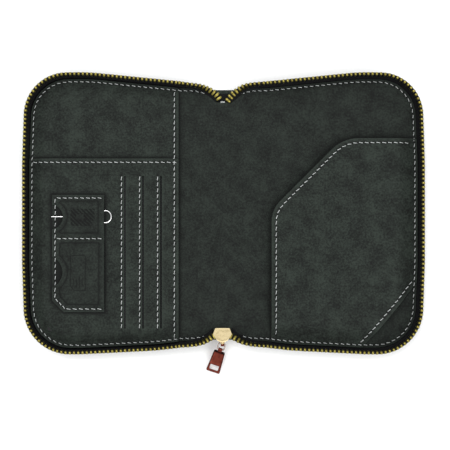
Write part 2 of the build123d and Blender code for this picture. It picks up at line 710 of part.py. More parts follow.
def write_stitches(places, name):
    """One node of separate stitches, each lying on its seam."""
    with BuildPart() as stitches:
        with Locations(*[Location((x, y, z), (0, 0, turn)) for x, y, z, turn in places]):
            Box(
                STITCH_LENGTH,
                STITCH_WIDTH,
                STITCH_TALL,
                align=STANDING,
            )
    finish(stitches.part, name)


def beside(value, limits):
    """Whether a value lies too near one of the limits for a whole stitch."""
    return any(abs(value - limit) < EDGE_MARGIN for limit in limits)


def passport_cut_y(x):
    """Where the passport pocket's cut-off corner is at a given X."""
    return PASSPORT_CUT_UPPER[1] + (x - PASSPORT_CUT_UPPER[0]) * PASSPORT_CUT_SLOPE


def right_border_level(x, y):
    """Surface under the right border seam, or None at an edge of the pocket sewn into it."""
    cut_y = passport_cut_y(x)
    pocket_left = PASSPORT_CORNERS[0][0]
    pocket_top = PASSPORT_CORNERS[1][1]
    if x > PASSPORT_STEP_X:
        if beside(y, (pocket_top, cut_y)):
            return None
        return PASSPORT_FLANGE_TOP if cut_y < y < pocket_top else LINING_TOP
    if y < 0:
        if beside(x, (pocket_left,)) or abs(y - cut_y) < 2 * EDGE_MARGIN:
            return None
        return PASSPORT_FLANGE_TOP if x > pocket_left and y > cut_y else LINING_TOP
    return LINING_TOP


def left_border_level(x, y):
    """Surface under the left border seam, or None at an edge of a pocket sewn into it."""
    if x > CASH_EDGE_X - EDGE_MARGIN:
        return None if beside(x, (CASH_EDGE_X,)) else LINING_TOP
    if beside(y, (TICKET_EDGE_Y,)) or (y < 0 and beside(x, (TICKET_STEP_X,))):
        return None
    if x > TICKET_STEP_X or y > TICKET_EDGE_Y:
        return CASH_FLANGE_TOP
    return TICKET_FLANGE_TOP


border_wire = outline_face(BORDER_STITCH_INSET).wire()
BORDER_START_X = FOLD_X + 1.0
for side, level_at in ((1, right_border_level), (-1, left_border_level)):
    border = [
        (p.X, p.Y, level_at(p.X, p.Y), turn)
        for p, turn in along_wire(border_wire, STITCH_PITCH)
        if side * p.X > BORDER_START_X and level_at(p.X, p.Y) is not None
    ]
    write_stitches(border, "stitching_border_right" if side > 0 else "stitching_border_left")

with BuildLine() as hem_line:
    passport_edge(HEM_INSET)
hem_wire = hem_line.wires()[0]
hem_count = round(hem_wire.length / STITCH_PITCH)
passport_hem = []
for index in range(hem_count):
    point = hem_wire.position_at(index / hem_count)
    along = hem_wire.tangent_at(index / hem_count)
    if point.X < PASSPORT_STEP_X - EDGE_MARGIN and point.Y > PASSPORT_STEP_Y + EDGE_MARGIN:
        passport_hem.append((point.X, point.Y, PASSPORT_TOP, degrees(atan2(along.Y, along.X))))
CUT_HEM_RISE = HEM_INSET * (1 + PASSPORT_CUT_SLOPE**2) ** 0.5
CUT_HEM_UPPER_X = PASSPORT_STEP_X - EDGE_MARGIN
CUT_HEM_UPPER_Y = passport_cut_y(CUT_HEM_UPPER_X) + CUT_HEM_RISE
CUT_HEM_LOWER_Y = PASSPORT_STEP_Y + EDGE_MARGIN
CUT_HEM_LOWER_X = CUT_HEM_UPPER_X + (CUT_HEM_LOWER_Y - CUT_HEM_UPPER_Y) / PASSPORT_CUT_SLOPE
cut_hem_ends = ((CUT_HEM_UPPER_X, CUT_HEM_UPPER_Y), (CUT_HEM_LOWER_X, CUT_HEM_LOWER_Y))
passport_hem += stitch_row(*cut_hem_ends, PASSPORT_TOP)
write_stitches(passport_hem, "stitching_passport_pocket")

CASH_SEAM_X = CASH_EDGE_X - 2.4
CASH_SEAM_HALF = 67.5
SEAM_MARGIN = 0.4
seam_lower = ((CASH_SEAM_X, -CASH_SEAM_HALF), (CASH_SEAM_X, TICKET_EDGE_Y - SEAM_MARGIN))
seam_upper = ((CASH_SEAM_X, TICKET_EDGE_Y + SEAM_MARGIN), (CASH_SEAM_X, CASH_SEAM_HALF))
cash_seam = stitch_row(*seam_lower, TICKET_SEAM_TOP) + stitch_row(*seam_upper, CASH_TOP)
write_stitches(cash_seam, "stitching_cash_pocket")

TICKET_HEM_Y = TICKET_EDGE_Y - 2.2
TICKET_HEM_LEFT_X = -105.0
ticket_hem_ends = ((TICKET_HEM_LEFT_X, TICKET_HEM_Y), (TICKET_STEP_X - SEAM_MARGIN, TICKET_HEM_Y))
ticket_hem = stitch_row(*ticket_hem_ends, TICKET_TOP)
write_stitches(ticket_hem, "stitching_ticket_pocket")

CARD_HEM_OFFSET = 1.9
card_hems = []
for slit_x in CARD_SLIT_XS:
    hem_x = slit_x - CARD_HEM_OFFSET
    hem_ends = ((hem_x, CARD_SLIT_TOP_Y), (hem_x, CARD_SLIT_TOP_Y - CARD_SLIT_LENGTH))
    card_hems += stitch_row(*hem_ends, TICKET_TOP)
write_stitches(card_hems, "stitching_card_slots")

PATCH_STITCH_INSET = 1.8
OPEN_EDGE_MARGIN = 0.8
MIDDLE_ROW_START = 3.0
CORNER_MARGIN = 0.6
patch_left = PATCH_LEFT_X + PATCH_STITCH_INSET
patch_right = PATCH_RIGHT_X - OPEN_EDGE_MARGIN
patch_top = PATCH_TOP_Y - PATCH_STITCH_INSET
patch_bottom = PATCH_BOTTOM_Y + PATCH_STITCH_INSET
notch_halves = [(y, r - OPEN_EDGE_MARGIN) for x, y, r in FINGER_NOTCHES]
upper_notch, lower_notch = [(y - half, y + half) for y, half in notch_halves]
chamfer_start = (patch_left + CORNER_MARGIN / 2, patch_bottom + PATCH_CHAMFER - 1.5 * CORNER_MARGIN)
chamfer_end = (patch_left + PATCH_CHAMFER - 1.5 * CORNER_MARGIN, patch_bottom + CORNER_MARGIN / 2)
patch_rows = [
    ((patch_left, patch_top), (patch_right, patch_top)),
    ((patch_left + MIDDLE_ROW_START, PATCH_MIDDLE_Y), (patch_right, PATCH_MIDDLE_Y)),
    ((patch_left + PATCH_CHAMFER, patch_bottom), (patch_right, patch_bottom)),
    ((patch_left, patch_top - CORNER_MARGIN), (patch_left, upper_notch[1])),
    ((patch_left, upper_notch[0]), (patch_left, lower_notch[1])),
    ((patch_left, lower_notch[0]), (patch_left, patch_bottom + PATCH_CHAMFER)),
    (chamfer_start, chamfer_end),
]
patch_stitches = []
for start, end in patch_rows:
    patch_stitches += stitch_row(start, end, PATCH_TOP)
write_stitches(patch_stitches, "stitching_sim_patch")
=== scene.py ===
import math

import bpy
import numpy as np
from mathutils import Matrix, Vector
from mathutils.geometry import delaunay_2d_cdt


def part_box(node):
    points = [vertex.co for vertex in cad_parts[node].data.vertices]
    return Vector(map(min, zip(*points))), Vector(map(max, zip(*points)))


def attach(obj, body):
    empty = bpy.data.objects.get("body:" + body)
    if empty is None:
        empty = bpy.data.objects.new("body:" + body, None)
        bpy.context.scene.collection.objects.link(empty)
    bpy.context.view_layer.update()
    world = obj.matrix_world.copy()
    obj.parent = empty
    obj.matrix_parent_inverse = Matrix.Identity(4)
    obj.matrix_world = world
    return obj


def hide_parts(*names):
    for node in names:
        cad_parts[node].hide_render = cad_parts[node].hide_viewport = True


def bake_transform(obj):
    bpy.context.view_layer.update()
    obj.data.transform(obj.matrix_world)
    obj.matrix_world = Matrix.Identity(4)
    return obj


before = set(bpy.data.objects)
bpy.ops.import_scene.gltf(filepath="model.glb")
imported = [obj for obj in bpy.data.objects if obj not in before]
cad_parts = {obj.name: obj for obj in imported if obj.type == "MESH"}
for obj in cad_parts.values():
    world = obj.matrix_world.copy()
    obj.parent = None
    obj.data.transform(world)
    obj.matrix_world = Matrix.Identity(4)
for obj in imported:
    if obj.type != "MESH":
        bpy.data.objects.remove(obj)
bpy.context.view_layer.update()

# Zip-around passport wallet, lying open. Lengths in this script are millimetres until a mesh is made.
MM = 0.001

# ---------------------------------------------------------------- paths in plan


def unit(v):
    """The vector at length one."""
    return v / max(np.linalg.norm(v), 1e-12)


STRAIGHT = 1.5699  # half a corner's angle, from which on it counts as no corner
RUN_SHARE = 0.9  # the most of a side that one corner's arc may take up


def rounded_path(corners, step=1.0, closed=True):
    """Points along a polygon of (x, y, radius) corners, with an arc at each corner."""
    points = []
    count = len(corners)
    for i, (x, y, r) in enumerate(corners):
        p = np.array([x, y], float)
        if r <= 0 or (not closed and i in (0, count - 1)):
            points.append(p)
            continue
        before = np.array(corners[i - 1][:2], float) - p
        after = np.array(corners[(i + 1) % count][:2], float) - p
        u, v = unit(before), unit(after)
        half = math.acos(max(-1.0, min(1.0, float(u @ v)))) / 2
        if half > STRAIGHT:
            points.append(p)
            continue
        run = min(r / math.tan(half), RUN_SHARE * np.linalg.norm(before), RUN_SHARE * np.linalg.norm(after))
        radius = run * math.tan(half)
        centre = p + unit(u + v) * radius / math.sin(half)
        a = p + u * run - centre
        b = p + v * run - centre
        start = math.atan2(a[1], a[0])
        turn = (math.atan2(b[1], b[0]) - start + math.pi) % (2 * math.pi) - math.pi
        steps = max(3, int(abs(turn) * radius / step) + 1)
        for k in range(steps + 1):
            angle = start + turn * k / steps
            points.append(centre + radius * np.array([math.cos(angle), math.sin(angle)]))
    return densify(points, step, closed)


def densify(points, step, closed=True):
    """The same path with no run longer than step; its own points stay."""
    points, out = np.asarray(points, float), []
    count = len(points)
    for i in range(count if closed else count - 1):
        a, b = points[i], points[(i + 1) % count]
        length = np.linalg.norm(b - a)
        if length < 1e-4:
            continue
        cuts = max(1, math.ceil(length / step - 1e-6))
        out += [a + (b - a) * k / cuts for k in range(cuts)]
    if not closed:
        out.append(points[-1])
    return np.array(out)


def run_lengths(points):
    """The length along a path up to each of its points."""
    return np.concatenate([[0], np.cumsum(np.linalg.norm(np.diff(points, axis=0), axis=1))])


def even(points, spacing, closed=False):
    """Points at one spacing along a path, and that spacing fitted to its length."""
    pts = np.vstack([points, points[:1]]) if closed else np.asarray(points, float)
    lengths = run_lengths(pts)
    count = max(1, round(lengths[-1] / spacing))
    at = np.linspace(0, lengths[-1], count + 1)
    out = np.stack([np.interp(at, lengths, pts[:, k]) for k in range(pts.shape[1])], axis=1)
    return (out[:-1] if closed else out), lengths[-1] / count


def clip(points, a, b, c):
    """The polygon's part where a x + b y <= c."""
    out = []
    count = len(points)
    for i in range(count):
        p, q = points[i], points[(i + 1) % count]
        dp, dq = a * p[0] + b * p[1] - c, a * q[0] + b * q[1] - c
        if dp <= 0:
            out.append(p)
        if (dp < 0 < dq) or (dq < 0 < dp):
            out.append(p + (q - p) * dp / (dp - dq))
    return np.array(out)


def normals_2d(points, closed=True):
    """Normals to the left of a path."""
    if closed:
        ahead, behind = np.roll(points, -1, axis=0) - points, points - np.roll(points, 1, axis=0)
    else:
        step = np.diff(points, axis=0)
        ahead, behind = np.vstack([step, step[-1:]]), np.vstack([step[:1], step])
    ahead = ahead / np.linalg.norm(ahead, axis=1)[:, None]
    behind = behind / np.linalg.norm(behind, axis=1)[:, None]
    mean = ahead + behind
    mean /= np.linalg.norm(mean, axis=1)[:, None]
    mitre = 1 / np.clip((mean * ahead).sum(axis=1), 0.5, 1)
    return np.stack([-mean[:, 1], mean[:, 0]], axis=1) * mitre[:, None]


def inside(points, loop):
    """Whether each point is inside a closed loop."""
    x, y = points[:, 0], points[:, 1]
    result = np.zeros(len(points), bool)
    for (ax, ay), (bx, by) in zip(loop, np.roll(loop, -1, axis=0)):
        if ay == by:
            continue
        crossing = ((ay > y) != (by > y)) & (x < (bx - ax) * (y - ay) / (by - ay) + ax)
        result ^= crossing
    return result


def nearest(points, path, closed=False):
    """Distance from each point to a path, and how far along the path its nearest place is."""
    pts = np.vstack([path, path[:1]]) if closed else np.asarray(path, float)
    a, d = pts[:-1], np.diff(pts, axis=0)
    lengths = np.linalg.norm(d, axis=1)
    starts = np.concatenate([[0], np.cumsum(lengths)])[:-1]
    best = np.full(len(points), 1e9)
    along = np.zeros(len(points))
    for i in range(len(a)):
        rel = points - a[i]
        t = np.clip(rel @ d[i] / max(lengths[i] ** 2, 1e-12), 0, 1)
        dist = np.hypot(rel[:, 0] - t * d[i][0], rel[:, 1] - t * d[i][1])
        closer = dist < best
        best[closer] = dist[closer]
        along[closer] = starts[i] + t[closer] * lengths[i]
    return best, along


def smooth(t):
    """An eased step from 0 to 1."""
    t = np.clip(t, 0.0, 1.0)
    return t * t * (3 - 2 * t)


# ---------------------------------------------------------------- meshes

UV = "Rest"
UV_MM = 100  # millimetres in one unit of the UV map


def new_object(name, verts, faces, uvs=None, attributes=None):
    """A smooth-shaded object from points in millimetres. uvs is one (u, v) in millimetres for each point."""
    mesh = bpy.data.meshes.new(name)
    mesh.from_pydata([tuple(v) for v in np.asarray(verts, float) * MM], [], faces)
    mesh.polygons.foreach_set("use_smooth", [True] * len(mesh.polygons))
    layer = mesh.uv_layers.new(name=UV)
    corner = np.zeros(len(mesh.loops), np.int32)
    mesh.loops.foreach_get("vertex_index", corner)
    uv = np.asarray(verts, float)[:, :2] if uvs is None else np.asarray(uvs, float)
    layer.data.foreach_set("uv", (uv[corner] / UV_MM).astype(np.float32).ravel())
    for key, values in (attributes or {}).items():
        attribute = mesh.attributes.new(key, "FLOAT", "POINT")
        attribute.data.foreach_set("value", np.asarray(values, np.float32))
    mesh.validate()
    mesh.update()
    obj = bpy.data.objects.new(name, mesh)
    bpy.context.scene.collection.objects.link(obj)
    return obj


def sharpen(obj, degrees):
    """Splits the shading at edges that turn more than this."""
    obj.data.set_sharp_from_angle(angle=math.radians(degrees))
    return obj


def level(z):
    """A flat top at one height, for a sheet."""
    return lambda x, y: np.full(len(x), z)


# A rounded rim: distance in from the edge, and drop, as shares of its radius.
RIM_RINGS = [(0.0, 1.0), (0.134, 0.5), (0.5, 0.134), (1.0, 0.0)]
RIM_SHARE = 0.46  # a rim's radius as a share of the sheet's thickness, unless it is given
PALE_RIM_WIDTH = 0.7  # how far the pale rim, partly wear and partly painted highlight, reaches in from a rim
HOLE = 0.42  # how wide the place is that a needle presses in
OUTER = 2.2  # how many of its widths beside a line its outermost points lie
RIM_GAP = 0.2  # from a rounded rim to the nearest point of a line
FIELD_GAP, ROW_SHARE = 0.35, 0.866  # of the grid: its distance to other points, and between its rows


class Line:
    """A sewn or pressed line on a sheet: its path, the pitch of its holes if it has any, and its groove,
    darkened as painted shade.
    """

    def __init__(self, path, pitch=0.0, depth=0.2, width=0.42, closed=False, dark=1.0):
        self.path, self.pitch, self.closed = path, pitch, closed
        self.depth, self.width, self.dark = depth, width, dark

    def detail(self):
        """Points close to the line, for the mesh to follow the groove."""
        base, _ = even(self.path, self.pitch / 4 if self.pitch else 0.8, self.closed)
        side = normals_2d(base, self.closed)
        return np.vstack([base + side * k * self.width for k in (0, 1, -1, OUTER, -OUTER)])

    def press(self, points):
        """Depth and darkness that the line gives each point; the darkness is painted shade in the groove,
        deepest at the needle holes.
        """
        dist, along = nearest(points, self.path, self.closed)
        groove = np.exp(-((dist / self.width) ** 2))
        if not self.pitch:
            return self.depth * groove, self.dark * groove
        phase = (along / self.pitch + 0.5) % 1.0 - 0.5
        hole = np.exp(-((phase * self.pitch / HOLE) ** 2))
        return self.depth * groove * (0.6 + 0.9 * hole), self.dark * groove * (0.35 + 0.65 * hole)


def orient(tris, xy):
    """The triangles anticlockwise, without those that have no area."""
    a, b, c = xy[tris[:, 0]], xy[tris[:, 1]], xy[tris[:, 2]]
    area = (b[:, 0] - a[:, 0]) * (c[:, 1] - a[:, 1]) - (b[:, 1] - a[:, 1]) * (c[:, 0] - a[:, 0])
    tris[area < 0] = tris[area < 0][:, ::-1]
    return tris[np.abs(area) > 1e-7]


def rim_points(loops, radius, cut_x):
    """Rings of points along each loop, their drops, and the edges that the mesh has to keep."""
    points, edges, drops = [], [], []
    for loop, sign in loops:
        inward = normals_2d(loop) * sign
        on_cut = np.zeros(len(loop), bool)
        if cut_x is not None:
            on_cut = np.abs(loop[:, 0] - cut_x) < 1e-6
            inward[on_cut] = np.stack([np.zeros(on_cut.sum()), -np.sign(loop[on_cut, 1])], axis=1)
        middle = on_cut & np.roll(on_cut, 1) & np.roll(on_cut, -1)
        for number, (share, drop) in enumerate(RIM_RINGS):
            keep = ~middle if number else np.ones(len(loop), bool)
            index = np.full(len(loop), -1)
            index[keep] = sum(len(p) for p in points) + np.arange(keep.sum())
            for a, b, a_cut, b_cut in zip(index, np.roll(index, -1), on_cut, np.roll(on_cut, -1)):
                if a >= 0 and b >= 0 and not (number and a_cut and b_cut):
                    edges.append((int(a), int(b)))
            points.append((loop + inward * share * radius)[keep])
            drops.append(np.where(middle[keep], 0.0, drop))
    return np.vstack(points), np.concatenate(drops), edges


def sheet(name, rim, thick, top, holes=(), lines=(), grid=2.2, cut_x=None, fine=None, bevel=None, place=None):
    """A closed sheet with rounded rims.

    top gives the upper surface's height at arrays of x and y, and may give its darkness too. fine holds extra
    points. At cut_x the rim has no rounding, because the sheet goes on in another object.
    """
    radius = bevel or thick * RIM_SHARE
    loops = [(rim, 1)] + [(hole, -1) for hole in holes]
    rings, rim_drop, edges = rim_points(loops, radius, cut_x)

    def covered(points):
        ok = inside(points, rim)
        for hole in holes:
            ok &= ~inside(points, hole)
        return ok

    def clear(candidates, margin):
        candidates = candidates[covered(candidates)]
        for loop, _ in loops:
            dist, _ = nearest(candidates, loop, True)
            candidates = candidates[dist > margin]
        return candidates

    near = [clear(line.detail(), radius + RIM_GAP) for line in lines]
    if fine is not None:
        near.append(clear(fine, radius + RIM_GAP))
    near = np.vstack([np.zeros((0, 2)), *near])
    low, high = rim.min(axis=0), rim.max(axis=0) + grid
    rows, columns = np.arange(low[1], high[1], grid * ROW_SHARE), np.arange(low[0], high[0], grid)
    field = np.array([(x + j % 2 * grid / 2, y) for j, y in enumerate(rows) for x in columns])
    field = clear(field, radius + grid * FIELD_GAP)
    for line in lines:
        dist, _ = nearest(field, line.path, line.closed)
        field = field[dist > OUTER * line.width + FIELD_GAP * grid]
    if fine is not None and len(field):
        box_low, box_high = fine.min(axis=0) - grid * 0.4, fine.max(axis=0) + grid * 0.4
        field = field[~np.all((field > box_low) & (field < box_high), axis=1)]
    flat = np.vstack([rings, near, field])
    flat_drop = np.concatenate([rim_drop, np.zeros(len(near) + len(field))])
    verts, _, faces, origin, _, _ = delaunay_2d_cdt([Vector(p) for p in flat], edges, [], 0, 1e-4, True)
    xy = np.array([v[:] for v in verts])
    drop = np.array([max((flat_drop[i] for i in o), default=0.0) for o in origin])
    tris = np.array([f for f in faces if len(f) == 3])
    tris = orient(tris[covered(xy[tris].mean(axis=1))], xy)
    used = np.unique(tris)
    remap = np.full(len(xy), -1)
    remap[used] = np.arange(len(used))
    tris, xy, drop = remap[tris], xy[used], drop[used]
    press, dark = np.zeros(len(xy)), np.zeros(len(xy))
    for line in lines:
        p, d = line.press(xy)
        press, dark = np.maximum(press, p), np.maximum(dark, d)
    z = top(xy[:, 0], xy[:, 1])
    if isinstance(z, tuple):
        z, more = z
        dark = np.maximum(dark, more)
    upper = np.column_stack([xy, z - press - drop * radius])
    lower = np.column_stack([xy, z - thick + drop * radius])
    count = len(xy)
    tris = [tuple(int(k) for k in t) for t in tris]
    directed = dict.fromkeys((t[i], t[(i + 1) % 3]) for t in tris for i in range(3))
    walls = [(i, i + count, j + count, j) for i, j in directed if (j, i) not in directed]
    faces = tris + [tuple(k + count for k in t[::-1]) for t in tris] + walls
    # Pale rims: partly wear, partly painted highlight where a turned edge catches light.
    dist = np.full(count, 1e9)
    for loop, _ in loops:
        if cut_x is not None:
            away = np.abs(loop[:, 0] - cut_x) > 1e-6
            first = int(np.argmax(away & ~np.roll(away, 1)))
            loop = np.roll(loop, -first, axis=0)[np.roll(away, -first)]
        dist = np.minimum(dist, nearest(xy, loop, cut_x is None)[0])
    wear_and_highlight = np.exp(-((dist / PALE_RIM_WIDTH) ** 2))
    # seam holds painted shade from the lines and the top, except on the patch, where the top's darkness is
    # its card picture and tone
    attributes = {"seam": np.concatenate([dark, np.zeros(count)]), "wear_and_highlight": np.concatenate([wear_and_highlight, wear_and_highlight])}
    obj = new_object(name, np.vstack([upper, lower]), faces, attributes=attributes)
    if cut_x is not None or place is not None:
        sharpen(obj, 50)
    if place is not None:
        obj.data.transform(place)
    return obj


ARC_STEPS = 3  # at each corner of a section


def section(width, height, corner):
    """A rounded rectangle as points (across, up), anticlockwise."""
    points = []
    for k, (sx, sy) in enumerate([(1, 1), (-1, 1), (-1, -1), (1, -1)]):
        for i in range(ARC_STEPS + 1):
            angle = math.pi / 2 * (k + i / ARC_STEPS)
            x = sx * (width / 2 - corner) + corner * math.cos(angle)
            points.append((x, sy * (height / 2 - corner) + corner * math.sin(angle)))
    return np.array(points)


def circle(radius, count=12):
    """A circle as points, anticlockwise."""
    angles = np.arange(count) * 2 * math.pi / count
    return np.stack([radius * np.cos(angles), radius * np.sin(angles)], axis=1)


def ring_faces(rings, sides, closed=False):
    """Faces of a tube whose points are rings with the same number of sides."""
    faces = []
    for i in range(rings if closed else rings - 1):
        first, following = i * sides, (i + 1) % rings * sides
        for j in range(sides):
            after = (j + 1) % sides
            faces.append((first + j, first + after, following + after, following + j))
    if not closed:
        faces += [tuple(reversed(range(sides))), tuple(range((rings - 1) * sides, rings * sides))]
    return faces


def sweep(path, shape, side, closed=False):
    """Points and faces of a section swept along a path; side is the direction of the section's first axis."""
    path = np.asarray(path, float)
    if closed:
        along = np.roll(path, -1, axis=0) - np.roll(path, 1, axis=0)
    else:
        along = np.gradient(path, axis=0)
    verts = []
    for p, t in zip(path, along):
        t = unit(t)
        u = unit(np.asarray(side, float) - t * (t @ side))
        verts.append(p + shape[:, :1] * u + shape[:, 1:] * np.cross(t, u))
    return np.vstack(verts), ring_faces(len(path), len(shape), closed)


def join(parts):
    """Several (verts, faces) as one."""
    verts, faces, first = [], [], 0
    for v, f in parts:
        verts.append(v)
        faces += [tuple(k + first for k in face) for face in f]
        first += len(v)
    return np.vstack(verts), faces


def rod(name, path, shape, side=(0, 0, 1), closed=False, place=None, sharp=None):
    """An object swept along a path and put in its place, with edges above so many degrees sharp."""
    obj = new_object(name, *sweep(path, shape, side, closed))
    if place is not None:
        obj.data.transform(place)
    if sharp is not None:
        sharpen(obj, sharp)
    return obj


def thick_grid(name, grid, thick):
    """A strip of cloth from a grid of points, with a thickness and closed edges."""
    grid = np.asarray(grid, float)
    nu, nv = grid.shape[:2]
    normal = np.cross(np.gradient(grid, axis=0), np.gradient(grid, axis=1))
    normal /= np.maximum(np.linalg.norm(normal, axis=2), 1e-9)[..., None]
    front, back = grid + normal * thick / 2, grid - normal * thick / 2
    half = nu * nv
    faces = []
    for i in range(nu - 1):
        for j in range(nv - 1):
            a, b, c, d = i * nv + j, (i + 1) * nv + j, (i + 1) * nv + j + 1, i * nv + j + 1
            faces += [(a, b, c, d), (d + half, c + half, b + half, a + half)]
    border = [(i, 0) for i in range(nu - 1)] + [(nu - 1, j) for j in range(nv - 1)]
    border += [(i, nv - 1) for i in range(nu - 1, 0, -1)] + [(0, j) for j in range(nv - 1, 0, -1)]
    ids = [i * nv + j for i, j in border]
    faces += [(b, a, a + half, b + half) for a, b in zip(ids, ids[1:] + ids[:1])]
    uv = np.meshgrid(run_lengths(grid[:, -1]), run_lengths(grid[nu // 2]), indexing="ij")
    uv = np.stack(uv, axis=2).reshape(-1, 2)
    verts = np.vstack([front.reshape(-1, 3), back.reshape(-1, 3)])
    return sharpen(new_object(name, verts, faces, uvs=np.vstack([uv, uv])), 60)


# ---------------------------------------------------------------- materials


class Nodes:
    """Short ways to wire a material. An input is a number, a tuple or another node's output."""

    def __init__(self, name):
        self.material = bpy.data.materials.new(name)
        self.material.use_nodes = True
        self.tree = self.material.node_tree
        self.shader = self.tree.nodes["Principled BSDF"]
        uv = self.node("UVMap", "UV", {}, uv_map=UV)
        self.mm = self.vector("MULTIPLY", uv, (UV_MM, UV_MM, UV_MM))

    def wire(self, node, inputs):
        """Gives a node its inputs, by name or number."""
        for key, value in inputs.items():
            if isinstance(value, (int, float, tuple)):
                node.inputs[key].default_value = value
            else:
                self.tree.links.new(value, node.inputs[key])

    def node(self, kind, output, inputs, **settings):
        """A node with its settings and inputs made; gives one of its outputs."""
        node = self.tree.nodes.new("ShaderNode" + kind)
        for key, value in settings.items():
            setattr(node, key, value)
        self.wire(node, inputs)
        return node.outputs[output]

    def vector(self, operation, a, b):
        return self.node("VectorMath", 0, {0: a, 1: b}, operation=operation)

    def math(self, operation, a, b=0.0, c=0.0, clamp=False):
        return self.node("Math", 0, {0: a, 1: b, 2: c}, operation=operation, use_clamp=clamp)

    def blend(self, *shares):
        """The sum of (value, weight) pairs."""
        total = None
        for value, weight in shares:
            part = self.math("MULTIPLY", value, weight)
            total = part if total is None else self.math("ADD", total, part)
        return total

    def texture(self, kind, output, inputs, vector, **settings):
        """A texture in millimetres on the sheet, or at another vector."""
        inputs["Vector"] = self.mm if vector is None else vector
        return self.node("Tex" + kind, output, inputs, **settings)

    def noise(self, scale, detail=2.0, roughness=0.5, vector=None):
        inputs = {"Scale": scale, "Detail": detail, "Roughness": roughness}
        return self.texture("Noise", "Fac", inputs, vector)

    def cells(self, scale, feature="DISTANCE_TO_EDGE", vector=None):
        return self.texture("Voronoi", "Distance", {"Scale": scale}, vector, feature=feature)

    def wave(self, scale, direction="X", distortion=0.0, vector=None):
        inputs = {"Scale": scale, "Distortion": distortion}
        return self.texture("Wave", "Fac", inputs, vector, bands_direction=direction)

    def turned(self, angle):
        """The place on the sheet, turned by an angle."""
        return self.node("Mapping", 0, {"Vector": self.mm, "Rotation": (0, 0, angle)})

    def solid(self, streak=(1.0, 1.0, 1.0)):
        """The place in the object in millimetres, stretched along its axes."""
        return self.vector("MULTIPLY", self.node("TexCoord", "Object", {}), tint(streak, 1 / MM))

    def ramp(self, fac, stops):
        node = self.tree.nodes.new("ShaderNodeValToRGB")
        while len(node.color_ramp.elements) < len(stops):
            node.color_ramp.elements.new(0.5)
        for element, (position, colour) in zip(node.color_ramp.elements, stops):
            element.position = position
            element.color = (*colour, 1.0)
        self.wire(node, {0: fac})
        return node.outputs[0]

    def mix(self, fac, a, b):
        a, b = ((*c, 1.0) if isinstance(c, tuple) else c for c in (a, b))
        return self.node("Mix", 2, {0: fac, 6: a, 7: b}, data_type="RGBA")

    def attribute(self, name):
        return self.node("Attribute", "Fac", {}, attribute_name=name)

    def bump(self, height, strength, distance):
        return self.node("Bump", 0, {"Strength": strength, "Distance": distance, "Height": height})

    def finish(self, colour, roughness, normal=None, metallic=0.0, specular=None, sheen=None):
        """Wires the shader and gives the material; sheen is (weight, roughness)."""
        inputs = {"Base Color": colour, "Roughness": roughness, "Metallic": metallic}
        if normal is not None:
            inputs["Normal"] = normal
        if specular is not None:
            inputs["Specular IOR Level"] = specular
        if sheen is not None:
            inputs["Sheen Weight"], inputs["Sheen Roughness"] = sheen
        self.wire(self.shader, inputs)
        return self.material


def tint(colour, gain):
    """A colour made lighter or darker."""
    return tuple(c * gain for c in colour)


def leather(name, colour, mottle=0.5):
    """Nubuck-like leatherette: cloudy patches, fine nap, pale rims (partly wear, partly painted highlight)
    and painted shade on needle lines, grooves and under panel edges.
    """
    n = Nodes(name)
    cloud = n.noise(0.1, 3.0, 0.6)
    patch = n.noise(0.42, 3.0, 0.65)
    nap = n.noise(0.95, 3.0, 0.65)
    mixed = n.blend((cloud, 0.3), (patch, 0.2), (nap, 0.5))
    spread = 0.045 / mottle
    stops = [(0.5 - spread, tint(colour, 0.3)), (0.5, colour), (0.5 + spread, tint(colour, 1.9))]
    # Pale rims: wear and painted highlight together.
    pale_rim = n.math("MULTIPLY_ADD", n.noise(0.5, 3.0), 0.7, 0.2)
    pale_rim = n.math("MULTIPLY", n.attribute("wear_and_highlight"), pale_rim, clamp=True)
    base = n.mix(pale_rim, n.ramp(mixed, stops), tint(colour, 2.3))
    # Painted shade: darker along stitch holes, grooves and under the edges of the panels above
    seam = n.math("MULTIPLY", n.attribute("seam"), 0.95, clamp=True)
    base = n.mix(seam, base, tint(colour, 0.12))
    height = n.blend((n.cells(1.9), 0.7), (n.noise(4.5, 4.0, 0.65), 0.8))
    rough = n.math("MULTIPLY_ADD", nap, 0.22, 0.66)
    return n.finish(base, rough, n.bump(height, 0.55, 0.00012), specular=0.2, sheen=(0.06, 0.45))


def cloth(name, colour, pitch):
    """Plain woven cloth with over-and-under threads."""
    n = Nodes(name)
    weave = n.math("MULTIPLY", n.wave(0.314 / pitch, "X", 0.4), n.wave(0.314 / pitch, "Y", 0.4))
    fibre = n.noise(6.0, 3.0, 0.7)
    tone = n.blend((weave, 0.55), (fibre, 0.3), (n.noise(0.12, 3.0), 0.25))
    base = n.ramp(tone, [(0.15, tint(colour, 0.55)), (0.5, colour), (0.85, tint(colour, 1.9))])
    height = n.blend((weave, 1.0), (fibre, 0.3))
    rough = n.math("MULTIPLY_ADD", fibre, 0.2, 0.72)
    return n.finish(base, rough, n.bump(height, 0.8, 0.00015), specular=0.2, sheen=(0.1, 0.5))


def tape(name, colour):
    """Zip tape: ribs along the chain crossed by a fine twill."""
    n = Nodes(name)
    height = n.blend((n.wave(0.36, "Y", 0.2), 0.5), (n.wave(0.62, "X", 0.6, vector=n.turned(0.7)), 0.5))
    fibre = n.noise(5.0, 3.0, 0.7)
    tone = n.blend((height, 0.6), (fibre, 0.4))
    base = n.ramp(tone, [(0.2, tint(colour, 0.5)), (0.55, colour), (0.9, tint(colour, 2.2))])
    rough = n.math("MULTIPLY_ADD", fibre, 0.25, 0.68)
    return n.finish(base, rough, n.bump(height, 0.9, 0.0002), specular=0.15)


POLISH_SPREAD = 0.18  # how much a metal's roughness varies


